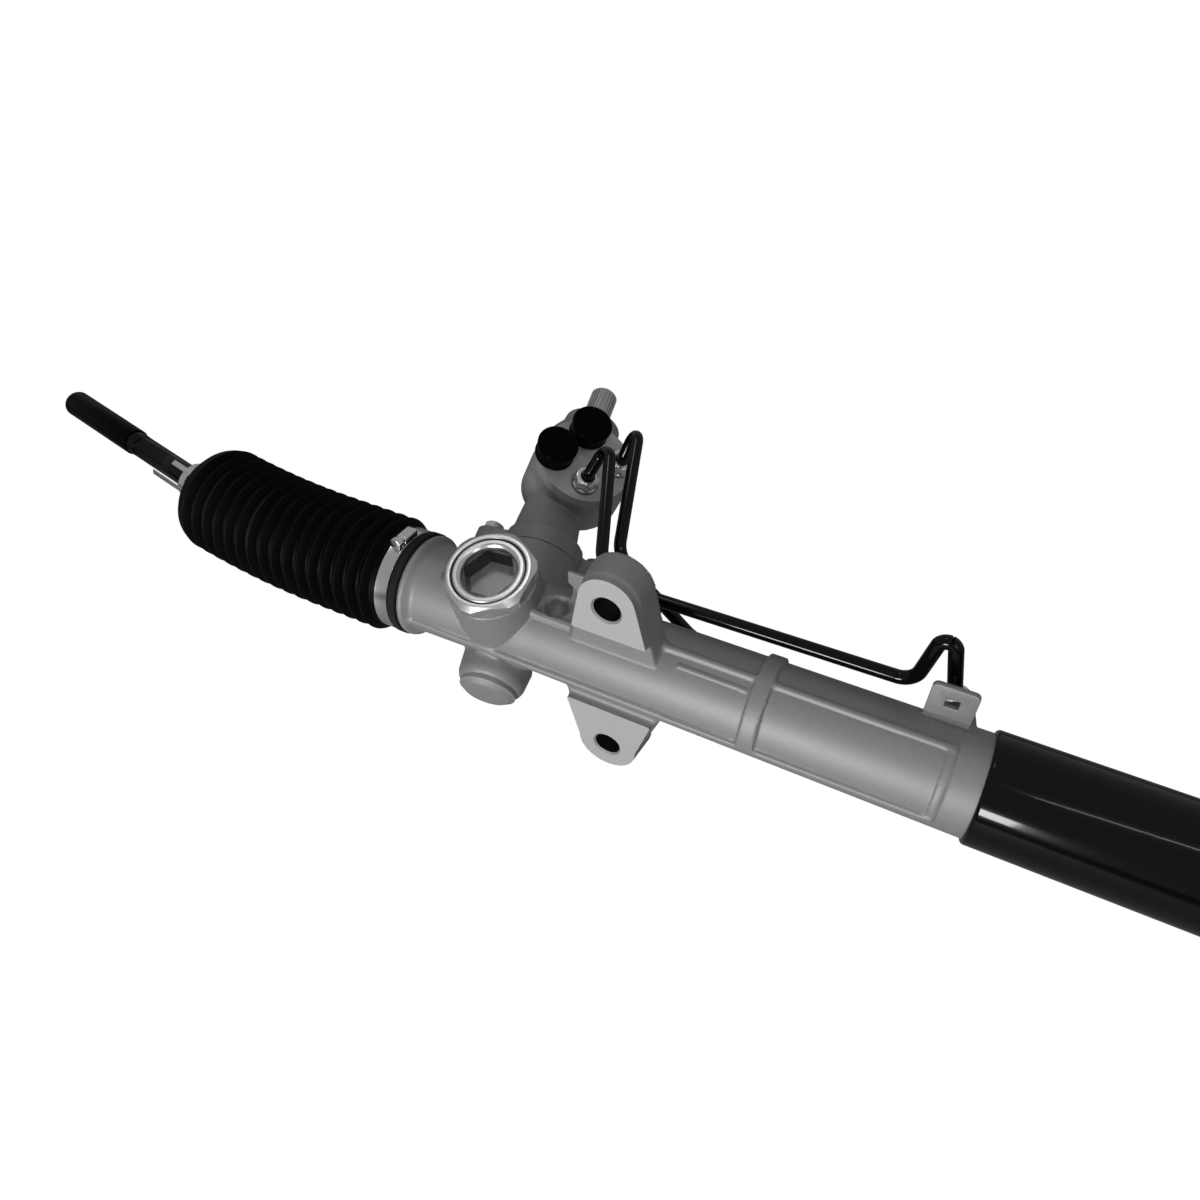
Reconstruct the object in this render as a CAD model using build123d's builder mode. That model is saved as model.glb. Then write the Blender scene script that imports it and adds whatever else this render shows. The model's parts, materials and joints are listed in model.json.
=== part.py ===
"""Hydraulic power steering rack, modelled as an assembly of separate parts.

Millimetres. X runs along the rack towards the hydraulic cylinder. Y points back, away from the
machined faces of the two lugs, which lie in the plane Y = 0. Z is up.
The origin is the middle of the lug bolt pattern on those faces.
"""

import os
from math import acos, asin, cos, degrees, pi, radians, sin, sqrt, tan

from build123d import *

os.makedirs("parts", exist_ok=True)


# Driving dimensions

RACK_Y = 18.5                 # rack axis behind the machined lug faces
MID_X = 143.0                 # middle of the assembly along the rack
BALL_HALF = 370.0             # middle to the centre of each inner ball joint
TRAVEL = 74.0                 # rack travel each way
FIT = 0.05                    # radial running clearance
SEAT = 0.02                   # radial clearance of pressed and threaded parts

BAR_R = 13.0                  # rack bar
BORE_R = 14.5                 # housing bore round the rack bar
SEAL_R = 18.5                 # wider bore of the seals and the oil space
HOUSING_R = 22.4              # cast gear housing
TUBE_R = 25.0                 # cylinder tube, outside
TUBE_WALL = 3.0
TUBE_START = 163.0            # the tube meets the shoulder of the housing here
SPIGOT = 14.0                 # overlap of the tube on the housing and the bulkhead

MOUTH_IN = 113.6              # ball centre to the face of the mouth ring
RING_R = 26.6                 # mouth ring the boot butts against
RING_W = 4.4
SEAT_R = 22.3                 # boot seat beyond the mouth ring
SEAT_L = 18.6
MOUTH_BORE_R = 19.0           # lets the ball housing in at full travel

YOKE_X = -64.5
YOKE_TILT = 16.5              # yoke axis leans forward from the vertical
YOKE_R = 15.0                 # bore of the yoke
PLUG_R = 17.3                 # threaded adjuster plug
PLUG_TOP = 40.4               # above the rack axis
PLUG_FLOOR = 24.0
PLUG_HOLLOW_R = 13.4
NUT_T = 6.9
NUT_FLATS = 42.0
NUT_CORNERS = 45.6
BOSS_R = 22.0

PINION_X = -66.0
PINION_SKEW = -8.5            # pinion axis leans towards the tie rod
MODULE = 1.9
TEETH = 8
SHIFT = 0.5                   # profile shift of the pinion
PRESSURE = 20.0
BACKLASH = 0.12
RACK_GAPS = 30
LAND = 9.6                    # rack axis to the tips of the rack teeth
PINION_FACE = 13.0            # half the face width of the pinion

GASKET_AT = 42.5              # along the pinion axis from the rack crossing
GASKET_T = 0.8
SHAFT_END = 164.0
PORT_TILT = 25.0              # port face turned from the yoke direction
PORT_FACE = 24.0              # pinion axis to the port face
PIPE_R = 3.175
PIPE_BORE = 2.3

EAR_HOLE_Z = 46.7
EAR_HOLE_R = 6.6
HOLE_EDGE = 0.45
EAR_BACK = 17.0

ROD_TILT = 10.8               # rest tilt of the tie rods from the rack axis
ROD_LIFT = 29.6               # direction of that tilt, from +Y towards +Z
BALL_R = 11.0
ROD_R = 6.9
CAP_R = 7.9

CREST_R = 30.5
VALLEY_R = 26.2
FOLDS = 16
CUFF = 13.6                   # large boot cuff


# Directions and work planes

def unit(v):
    return v / v.length


X = Vector(1, 0, 0)
YOKE_N = Vector(0, -sin(radians(YOKE_TILT)), cos(radians(YOKE_TILT)))
BACK = Vector(0, cos(radians(YOKE_TILT)), sin(radians(YOKE_TILT)))
PIN_U = X * sin(radians(PINION_SKEW)) + BACK * cos(radians(PINION_SKEW))
PIN_W = PIN_U.cross(YOKE_N)
PORT_Q = YOKE_N * cos(radians(PORT_TILT)) + PIN_W * sin(radians(PORT_TILT))
PORT_V = PIN_W * cos(radians(PORT_TILT)) - YOKE_N * sin(radians(PORT_TILT))

PITCH_R = MODULE * TEETH / 2
PITCH = pi * MODULE
MESH = PITCH_R + SHIFT * MODULE       # pinion axis to the reference line of the rack
CENTRE = MESH + LAND - MODULE         # pinion axis to the rack axis

RACK_AXIS = Axis((0, RACK_Y, 0), (1, 0, 0))
YOKE_O = Vector(YOKE_X, RACK_Y, 0)
YOKE_AXIS = Axis(YOKE_O, YOKE_N)
PIN_O = Vector(PINION_X, RACK_Y, 0) - YOKE_N * CENTRE
PIN_AXIS = Axis(PIN_O, PIN_U)

RACK_SIDE = Plane(origin=(0, RACK_Y, 0), x_dir=(1, 0, 0), z_dir=(0, -1, 0))
YOKE_SIDE = Plane(origin=YOKE_O, x_dir=(1, 0, 0), z_dir=X.cross(YOKE_N))
PIN_SIDE = Plane(origin=PIN_O, x_dir=PIN_U, z_dir=PIN_W)
LUG_BACK = Plane(origin=(0, 0, 0), x_dir=(-1, 0, 0), z_dir=(0, 1, 0))


def rack_plane(x):
    return Plane(origin=(x, RACK_Y, 0), x_dir=(0, 1, 0), z_dir=(1, 0, 0))


def yoke_plane(height):
    return Plane(origin=YOKE_O + YOKE_N * height, x_dir=(1, 0, 0), z_dir=YOKE_N)


def pin_plane(along):
    return Plane(origin=PIN_O + PIN_U * along, x_dir=PIN_W, z_dir=PIN_U)


def port_plane(along, across, height):
    at = PIN_O + PIN_U * along + PORT_V * across + PORT_Q * height
    return Plane(origin=at, x_dir=PORT_V, z_dir=PORT_Q)


def side_x(side, out):
    """X of a point that lies `out` beyond the ball centre of one side."""
    return MID_X + side * (BALL_HALF + out)


def rod_dir(side):
    tilt, lift = radians(ROD_TILT), radians(ROD_LIFT)
    return Vector(side * cos(tilt), sin(tilt) * cos(lift), sin(tilt) * sin(lift))


def save(builder, label):
    builder.part.label = label
    export_step(builder.part, f"parts/{label}.step")


def strip(x0, x1, r0, r1):
    """Half section of a ring about the rack axis."""
    return Polygon((x0, r0), (x1, r0), (x1, r1), (x0, r1), align=None)


# Gear housing: cast body with lugs, yoke boss, pinion tower and ribs

LEFT_MOUTH = side_x(-1, -MOUTH_IN)
RIGHT_MOUTH = side_x(1, -MOUTH_IN)
SEAT_END = LEFT_MOUTH - SEAT_L
SPIGOT_END = TUBE_START + SPIGOT
TUBE_IN = TUBE_R - TUBE_WALL
SEAL_X = 124.0
SEAL_W = 8.0
TOWER_R = 21.5
LOWER_R = 16.5
LOWER_END = -34.0
BEARING_R = 17.5
BEARING = (20.0, 32.0)
BAND = (65.5, 73.0)
RIB_ANGLE = 188.0             # mould parting line, from +Y towards +Z
RIDGE_ANGLE = 102.0
POCKET_ANGLE = 118.0          # rim of the pocket between the yoke boss and the upper lug
POCKET_R = 9.0
PANEL_END = 150.0
TAB = (133.2, 152.2)
TAB_Y = 27.4
TAB_TOP = 40.5
TAB_T = 2.6
PORT_SEAT = Vector(144.5, RACK_Y + 19.5, 20.6)
PORT_PEAK = Vector(136.8, RACK_Y + 22.5, 51.0)
PORT_DIR = unit(PORT_PEAK - PORT_SEAT)
VALVE_BOLTS = [Vector(-31.0, -2.0), Vector(24.5, 18.0)]

with BuildPart() as gear_housing:
    with BuildSketch(RACK_SIDE):
        Polygon(
            (SEAT_END, 0), (SEAT_END, SEAT_R), (LEFT_MOUTH, SEAT_R), (LEFT_MOUTH, RING_R - 1.2),
            (LEFT_MOUTH + 1.2, RING_R), (LEFT_MOUTH + RING_W - 1.4, RING_R),
            (LEFT_MOUTH + RING_W, RING_R - 1.4), (LEFT_MOUTH + RING_W + 2.0, HOUSING_R + 0.7),
            (-40, HOUSING_R - 0.4), (TUBE_START, HOUSING_R + 0.6), (TUBE_START, TUBE_IN - SEAT),
            (SPIGOT_END, TUBE_IN - SEAT), (SPIGOT_END, 0), align=None)
    revolve(axis=RACK_AXIS)
    # yoke boss
    with BuildSketch(yoke_plane(0)):
        Circle(BOSS_R + 1.0)
    extrude(amount=PLUG_TOP - NUT_T, taper=1.2)
    # tower of the pinion and its lower boss
    with BuildSketch(pin_plane(LOWER_END)):
        Circle(LOWER_R - 1.5)
    extrude(amount=-LOWER_END, taper=-4)
    with BuildSketch(pin_plane(0)):
        Circle(TOWER_R + 2.0)
    extrude(amount=GASKET_AT, taper=2)
    with BuildSketch(pin_plane(GASKET_AT - 9.0)):
        Circle(TOWER_R)
        for bolt in VALVE_BOLTS:
            with Locations((bolt.X, bolt.Y)):
                Circle(8.0)
            reach = bolt.length
            turn = degrees(asin(bolt.Y / reach))
            turn = turn if bolt.X > 0 else 180 - turn
            with PolarLocations(reach / 2, 1, turn):
                Rectangle(reach, 15)
    extrude(amount=9.0)
    # stepped web behind the upper lug, and the rim of the pocket in front of it
    with BuildSketch(Plane.YZ.offset(-30)):
        Polygon((RACK_Y + 1.5, 12), (RACK_Y + 14, 2), (RACK_Y + 18.5, 12), (RACK_Y + 3.5, 41),
                (RACK_Y + 1.5, 41), align=None)
    extrude(amount=22)
    with BuildSketch(Plane.YZ.offset(-18)):
        Polygon((EAR_BACK - 5, 15), (RACK_Y + 14, 2), (RACK_Y + 18.5, 12), (EAR_BACK, 50),
                (EAR_BACK - 5, 47), align=None)
    extrude(amount=12)
    with BuildSketch(rack_plane(-43)):
        with PolarLocations(HOUSING_R, 1, POCKET_ANGLE):
            Rectangle(3.4, 3.4)
    extrude(amount=24)
    # lugs
    with BuildSketch(LUG_BACK.offset(4.0)):
        with Locations((0, EAR_HOLE_Z + 3.5)):
            Circle(14.5)
        Polygon((-24, 10), (22, 10), (14.5, EAR_HOLE_Z + 4), (-14.5, EAR_HOLE_Z + 4), align=None)
        with Locations((0, -EAR_HOLE_Z)):
            Circle(15.6)
        Polygon((-28, -12), (26, -12), (15.4, -EAR_HOLE_Z), (-15.4, -EAR_HOLE_Z), align=None)
    extrude(amount=EAR_BACK - 4.0, taper=-6)
    with BuildSketch(LUG_BACK):
        with Locations((0, EAR_HOLE_Z + 3.5)):
            Circle(13.6)
        Polygon((-19, 30), (17.6, 30), (13.4, EAR_HOLE_Z + 6), (-13.4, EAR_HOLE_Z + 6), align=None)
        with Locations((0, -EAR_HOLE_Z)):
            Circle(15.2)
        Polygon((-22.8, -21), (21.8, -21), (15.0, -EAR_HOLE_Z), (-15.0, -EAR_HOLE_Z), align=None)
    extrude(amount=4.4, taper=-7)
    # transverse band, parting rib, ridges of the side panel
    with BuildSketch(rack_plane(BAND[0])):
        Circle(HOUSING_R + 2.0)
        Circle(HOUSING_R - 2.0, mode=Mode.SUBTRACT)
        Polygon((0, 0), (60, 35), (60, 90), (-60, 90), (-60, -5), align=None, mode=Mode.INTERSECT)
    extrude(amount=BAND[1] - BAND[0])
    with BuildSketch(rack_plane(LEFT_MOUTH + 4)):
        with PolarLocations(HOUSING_R, 1, RIB_ANGLE):
            Rectangle(4.2, 3.4)
    extrude(amount=PANEL_END - LEFT_MOUTH - 4)
    with BuildSketch(rack_plane(22)):
        with PolarLocations(HOUSING_R, 1, RIDGE_ANGLE):
            Rectangle(3.4, 3.0)
    extrude(amount=PANEL_END - 22)
    with BuildSketch(rack_plane(31)):
        with PolarLocations(HOUSING_R - 1, 1, RIDGE_ANGLE + 17):
            Rectangle(3.6, 2.2)
    extrude(amount=33)
    with BuildSketch(rack_plane(PANEL_END - 3)):
        Circle(HOUSING_R + 1.4)
        Circle(HOUSING_R - 2, mode=Mode.SUBTRACT)
        reach = 60
        Polygon((0, 0), (reach * cos(radians(RIDGE_ANGLE)), reach * sin(radians(RIDGE_ANGLE))),
                (-reach * 2, reach / 2), (reach * cos(radians(RIB_ANGLE + 3)),
                                          reach * sin(radians(RIB_ANGLE + 3))),
                align=None, mode=Mode.INTERSECT)
    extrude(amount=3)
    # flat tab beside the pipe port
    with BuildSketch(Plane(origin=(0, TAB_Y, 0), x_dir=(1, 0, 0), z_dir=(0, -1, 0))):
        middle = (TAB[0] + TAB[1]) / 2
        with Locations((middle, TAB_TOP - 15)):
            RectangleRounded(TAB[1] - TAB[0], 30, 3.0)
        with Locations((middle, TAB_TOP - 8.6)):
            Rectangle(5.8, 5.2, mode=Mode.SUBTRACT)
    extrude(amount=-TAB_T)
    # port boss of the near cylinder chamber
    with BuildSketch(Plane(origin=PORT_SEAT, z_dir=PORT_DIR)):
        Circle(8.0)
    extrude(amount=-10.0, taper=-6)

    # bores
    with BuildSketch(RACK_SIDE):
        Polygon(
            (SEAT_END - 1, 0), (SEAT_END - 1, MOUTH_BORE_R), (LEFT_MOUTH - 6, MOUTH_BORE_R),
            (LEFT_MOUTH - 4, BORE_R), (SEAL_X, BORE_R), (SEAL_X, SEAL_R),
            (SPIGOT_END + 1, SEAL_R), (SPIGOT_END + 1, 0), align=None)
    revolve(axis=RACK_AXIS, mode=Mode.SUBTRACT)
    with BuildSketch(YOKE_SIDE):
        Polygon((0, 0), (YOKE_R, 0), (YOKE_R, PLUG_FLOOR - 0.5), (PLUG_R, PLUG_FLOOR - 0.5),
                (PLUG_R, PLUG_TOP), (0, PLUG_TOP), align=None)
    revolve(axis=YOKE_AXIS, mode=Mode.SUBTRACT)
    with BuildSketch(PIN_SIDE):
        Polygon((LOWER_END - 1, 0), (LOWER_END - 1, 11.0), (BEARING[0], 11.0),
                (BEARING[0], BEARING_R), (GASKET_AT + 1, BEARING_R), (GASKET_AT + 1, 0),
                align=None)
    revolve(axis=PIN_AXIS, mode=Mode.SUBTRACT)
    with BuildSketch(Plane(origin=PORT_SEAT, z_dir=PORT_DIR)):
        Circle(4.5)
    extrude(amount=-9.0, mode=Mode.SUBTRACT)
    with BuildSketch(Plane(origin=PORT_SEAT, z_dir=PORT_DIR)):
        Circle(PIPE_BORE)
    extrude(amount=-14.0, mode=Mode.SUBTRACT)
    # pocket between the yoke boss and the upper lug
    with Locations((-33, RACK_Y - 3, 27)):
        Sphere(POCKET_R, mode=Mode.SUBTRACT)
    # lug holes with their chamfers, and the threads of the valve housing bolts
    with BuildSketch(LUG_BACK.offset(-1)):
        with Locations((0, EAR_HOLE_Z), (0, -EAR_HOLE_Z)):
            Circle(EAR_HOLE_R)
    extrude(amount=EAR_BACK + 12, mode=Mode.SUBTRACT)
    with BuildSketch(LUG_BACK):
        with Locations((0, EAR_HOLE_Z), (0, -EAR_HOLE_Z)):
            Circle(EAR_HOLE_R + HOLE_EDGE)
    extrude(amount=HOLE_EDGE, taper=45, mode=Mode.SUBTRACT)
    with BuildSketch(pin_plane(GASKET_AT)):
        with Locations(*[(b.X, b.Y) for b in VALVE_BOLTS]):
            Circle(3.0)
    extrude(amount=-16, mode=Mode.SUBTRACT)
save(gear_housing, "gear_housing")


# Yoke: support of the rack opposite the pinion, with its spring, plug and lock nut

YOKE_LOW = 2.0
YOKE_HIGH = 23.4
PAD_T = 0.8
SPRING_R = 5.2
SPRING_WIRE = 1.1
POCKET_R = 7.0
POCKET_FLOOR = 14.6
SOCKET = (3.0, 8.6)           # depth of the hexagonal socket below the plug's rim
SOCKET_TURN = 35.0

with BuildPart() as yoke:
    with BuildSketch(YOKE_SIDE):
        Polygon((0, YOKE_LOW), (YOKE_R - FIT, YOKE_LOW), (YOKE_R - FIT, 16.0), (YOKE_R - 1.4, 16.0),
                (YOKE_R - 1.4, 18.4), (YOKE_R - FIT, 18.4), (YOKE_R - FIT, YOKE_HIGH),
                (POCKET_R, YOKE_HIGH), (POCKET_R, POCKET_FLOOR), (0, POCKET_FLOOR), align=None)
    revolve(axis=YOKE_AXIS)
    with BuildSketch(rack_plane(YOKE_X - 20)):
        Circle(BAR_R + FIT + PAD_T)
    extrude(amount=40, mode=Mode.SUBTRACT)
save(yoke, "yoke")

with BuildPart() as yoke_pad:
    with BuildSketch(rack_plane(YOKE_X - 11)):
        Circle(BAR_R + FIT + PAD_T)
        Circle(BAR_R + FIT / 2, mode=Mode.SUBTRACT)
        with PolarLocations(BAR_R, 1, 90 + YOKE_TILT):
            Rectangle(BAR_R, 18, mode=Mode.INTERSECT)
    extrude(amount=22)
save(yoke_pad, "yoke_pad")

with BuildPart() as yoke_oring:
    with BuildSketch(YOKE_SIDE):
        Polygon((YOKE_R - 1.35, 16.3), (YOKE_R - 0.02, 16.3), (YOKE_R - 0.02, 18.1),
                (YOKE_R - 1.35, 18.1), align=None)
    revolve(axis=YOKE_AXIS)
save(yoke_oring, "yoke_oring")

with BuildPart() as yoke_spring:
    length = PLUG_FLOOR - POCKET_FLOOR - 2 * SPRING_WIRE - 0.4
    foot = YOKE_O + YOKE_N * (POCKET_FLOOR + SPRING_WIRE + 0.2)
    with BuildLine():
        coil = Helix(pitch=length / 2.5, height=length, radius=SPRING_R, center=foot,
                     direction=YOKE_N)
    with BuildSketch(Plane(origin=coil @ 0, z_dir=coil % 0)):
        RegularPolygon(SPRING_WIRE, 6)
    sweep(path=coil, is_frenet=True)
save(yoke_spring, "yoke_spring")

with BuildPart() as adjuster_plug:
    with BuildSketch(YOKE_SIDE):
        Polygon((0, PLUG_FLOOR), (PLUG_R - SEAT, PLUG_FLOOR), (PLUG_R - SEAT, PLUG_TOP - 0.8),
                (PLUG_R - 0.8, PLUG_TOP), (PLUG_HOLLOW_R + 0.8, PLUG_TOP),
                (PLUG_HOLLOW_R, PLUG_TOP - 0.8), (PLUG_HOLLOW_R, PLUG_FLOOR + 3.6),
                (0, PLUG_FLOOR + 3.6), align=None)
    revolve(axis=YOKE_AXIS)
    # hexagonal socket inside the rim, over the open floor
    with BuildSketch(yoke_plane(PLUG_TOP - SOCKET[0])):
        Circle(PLUG_HOLLOW_R + 0.3)
        RegularPolygon(PLUG_HOLLOW_R - 0.1, 6, rotation=SOCKET_TURN, mode=Mode.SUBTRACT)
    extrude(amount=SOCKET[0] - SOCKET[1])
save(adjuster_plug, "adjuster_plug")

with BuildPart() as yoke_lock_nut:
    with BuildSketch(yoke_plane(PLUG_TOP - NUT_T)):
        RegularPolygon(NUT_FLATS / 2, 6, major_radius=False, rotation=0)
    extrude(amount=NUT_T)
    with BuildSketch(YOKE_SIDE):
        Polygon((0, PLUG_TOP - NUT_T), (NUT_CORNERS / 2 - 1.3, PLUG_TOP - NUT_T),
                (NUT_CORNERS / 2, PLUG_TOP - NUT_T + 1.0), (NUT_CORNERS / 2, PLUG_TOP - 1.4),
                (NUT_CORNERS / 2 - 2.6, PLUG_TOP), (0, PLUG_TOP), align=None)
    revolve(axis=YOKE_AXIS, mode=Mode.INTERSECT)
    with BuildSketch(yoke_plane(PLUG_TOP - NUT_T)):
        Circle(PLUG_R)
    extrude(amount=NUT_T, mode=Mode.SUBTRACT)
    with BuildSketch(yoke_plane(PLUG_TOP)):
        Circle(PLUG_R + 0.9)
    extrude(amount=-0.9, taper=45, mode=Mode.SUBTRACT)
save(yoke_lock_nut, "yoke_lock_nut")


# Rack bar with its teeth

RACK_L = side_x(-1, -32)
RACK_R = side_x(1, -32)
STUD_R = 7.0
STUD_L = 18.0
PITCH_X = PITCH / cos(radians(PINION_SKEW))
TOOTH_HALF = PITCH / 4 - BACKLASH / 2
TIP = MESH - MODULE
ROOT = MESH + 1.25 * MODULE
SLOPE = tan(radians(PRESSURE))

with BuildPart() as rack_bar:
    with BuildSketch(RACK_SIDE):
        Polygon((RACK_L, 0), (RACK_L, BAR_R - 1), (RACK_L + 1, BAR_R), (RACK_R - 1, BAR_R),
                (RACK_R, BAR_R - 1), (RACK_R, 0), align=None)
    revolve(axis=RACK_AXIS)
    # flat along the toothed side
    flat = RACK_GAPS * PITCH_X / 2
    below = Plane(origin=(PINION_X, RACK_Y, 0), x_dir=(1, 0, 0), z_dir=-YOKE_N)
    with BuildSketch(below.offset(LAND)):
        Rectangle(2 * flat, 4 * BAR_R)
    extrude(amount=BAR_R, mode=Mode.SUBTRACT)
    # gaps between the teeth, cut along the pinion axis
    gap_tip = PITCH / 2 - TOOTH_HALF + MODULE * SLOPE
    gap_root = PITCH / 2 - TOOTH_HALF - 1.25 * MODULE * SLOPE
    for i in range(RACK_GAPS):
        step = (i - (RACK_GAPS - 1) / 2) * PITCH_X
        with BuildSketch(Plane(origin=PIN_O + X * step, x_dir=PIN_W, z_dir=PIN_U)):
            Polygon((-gap_tip, -TIP + 0.5), (gap_tip, -TIP + 0.5), (gap_tip, -TIP),
                    (gap_root, -ROOT), (-gap_root, -ROOT), (-gap_tip, -TIP), align=None)
        extrude(amount=BAR_R + 2, both=True, mode=Mode.SUBTRACT)
    for end, way in ((RACK_L, 1), (RACK_R, -1)):
        with BuildSketch(Plane(origin=(end, RACK_Y, 0), z_dir=(way, 0, 0))):
            Circle(STUD_R)
        extrude(amount=STUD_L + 2, mode=Mode.SUBTRACT)
save(rack_bar, "rack_bar")


# Pinion

BASE_R = PITCH_R * cos(radians(PRESSURE))
PINION_TIP = 10.0
PINION_ROOT = 6.1
JOURNAL_R = 5.95
HEAD_R = 8.0
HEAD_END = 94.0
BAR_END = 36.0
TORSION_R = 3.0


def involute(angle):
    return tan(angle) - angle


def tooth_half_angle(radius):
    """Half the angular thickness of a pinion tooth at a radius."""
    at_pitch = (pi / 2 + 2 * SHIFT * tan(radians(PRESSURE))) * MODULE / (2 * PITCH_R)
    here = acos(min(1.0, BASE_R / radius))
    return at_pitch + involute(radians(PRESSURE)) - involute(here)


def polar(radius, angle):
    return (radius * cos(angle), radius * sin(angle))


with BuildSketch() as tooth:
    middle_r = (BASE_R + PINION_TIP) / 2
    foot = tooth_half_angle(BASE_R)
    mid = tooth_half_angle(middle_r)
    top = tooth_half_angle(PINION_TIP)
    with BuildLine():
        rise = ThreePointArc(polar(BASE_R, -foot), polar(middle_r, -mid), polar(PINION_TIP, -top))
        fall = ThreePointArc(polar(PINION_TIP, top), polar(middle_r, mid), polar(BASE_R, foot))
        Line(rise @ 1, fall @ 0)
        Polyline(fall @ 1, polar(PINION_ROOT - 0.6, foot), polar(PINION_ROOT - 0.6, -foot), rise @ 0)
    make_face()

with BuildPart() as pinion:
    with BuildSketch(pin_plane(-PINION_FACE)):
        Circle(PINION_ROOT)
        with PolarLocations(0, TEETH, -90 + 180 / TEETH):
            add(tooth.sketch)
    extrude(amount=2 * PINION_FACE)
    with BuildSketch(PIN_SIDE):
        Polygon((-30.5, 0), (-30.5, JOURNAL_R - 0.6), (-29.9, JOURNAL_R), (-PINION_FACE, JOURNAL_R),
                (-PINION_FACE + 0.01, PINION_ROOT - 0.2), (PINION_FACE - 0.01, PINION_ROOT - 0.2),
                (PINION_FACE, 10.2), (BEARING[0], 10.2), (BEARING[0], 9.98), (BEARING[1], 9.98),
                (BEARING[1], 9.9), (50, 9.9), (54, HEAD_R), (HEAD_END, HEAD_R), (HEAD_END, 0),
                align=None)
    revolve(axis=PIN_AXIS)
    with BuildSketch(pin_plane(BAR_END)):
        Circle(TORSION_R + FIT)
    extrude(amount=HEAD_END - BAR_END, mode=Mode.SUBTRACT)
save(pinion, "pinion")


def bushing(l0, l1, inner, outer):
    """Section of a plain ring about the pinion axis."""
    return Polygon((l0, inner), (l1, inner), (l1, outer), (l0, outer), align=None)


with BuildPart() as pinion_lower_bearing:
    with BuildSketch(PIN_SIDE):
        bushing(-30.0, -20.0, JOURNAL_R + SEAT, 11.0 - SEAT)
    revolve(axis=PIN_AXIS)
save(pinion_lower_bearing, "pinion_lower_bearing")

with BuildPart() as pinion_cap:
    with BuildSketch(PIN_SIDE):
        Polygon((LOWER_END + 3, 0), (LOWER_END + 3, 11.0 - SEAT), (LOWER_END, 11.0 - SEAT),
                (LOWER_END, 14.6), (LOWER_END - 2.2, 14.6), (LOWER_END - 4.2, 11.5), (LOWER_END - 4.8, 8.0),
                (LOWER_END - 4.8, 0), align=None)
    revolve(axis=PIN_AXIS)
save(pinion_cap, "pinion_cap")

with BuildPart() as pinion_upper_bearing:
    with BuildSketch(PIN_SIDE):
        bushing(*BEARING, 10.0, 12.6)
        bushing(*BEARING, 15.0, BEARING_R - SEAT)
    revolve(axis=PIN_AXIS)
    with BuildSketch(pin_plane(sum(BEARING) / 2)):
        with PolarLocations(13.8, 9):
            Circle(2.4)
    extrude(amount=4.6, both=True)
save(pinion_upper_bearing, "pinion_upper_bearing")

with BuildPart() as pinion_seal:
    with BuildSketch(PIN_SIDE):
        bushing(BEARING[1] + 0.5, BEARING[1] + 7.5, 9.9 + SEAT, BEARING_R - SEAT)
    revolve(axis=PIN_AXIS)
save(pinion_seal, "pinion_seal")


# Valve housing on the tower, with the rotary valve and the input shaft

FLANGE_AT = GASKET_AT + GASKET_T
FLANGE_T = 10.0
VALVE_R = 14.03
VALVE = (84.0, 138.0)
NECK_BORE = 10.4
PORT_AT = (98.0, 2.5)
RING_AT = (89.0, 98.0, 107.0, 116.0)
CAP_PORTS = [(93.5, -14.8), (115.0, -2.0)]
NUT_PORTS = [(84.0, 6.0), (103.0, 20.0)]


def flange_arms(width, lobe):
    """Bolt lobes of the flange, joined to its middle."""
    for bolt in VALVE_BOLTS:
        reach = bolt.length
        turn = degrees(asin(bolt.Y / reach))
        turn = turn if bolt.X > 0 else 180 - turn
        with Locations((bolt.X, bolt.Y)):
            Circle(lobe)
        with PolarLocations(reach / 2, 1, turn):
            Rectangle(reach, width)


with BuildPart() as housing_gasket:
    with BuildSketch(pin_plane(GASKET_AT)):
        Circle(TOWER_R - 0.3)
        flange_arms(14.4, 7.7)
        Circle(BEARING_R + 0.3, mode=Mode.SUBTRACT)
        with Locations(*[(b.X, b.Y) for b in VALVE_BOLTS]):
            Circle(3.4, mode=Mode.SUBTRACT)
    extrude(amount=GASKET_T)
save(housing_gasket, "housing_gasket")

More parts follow.
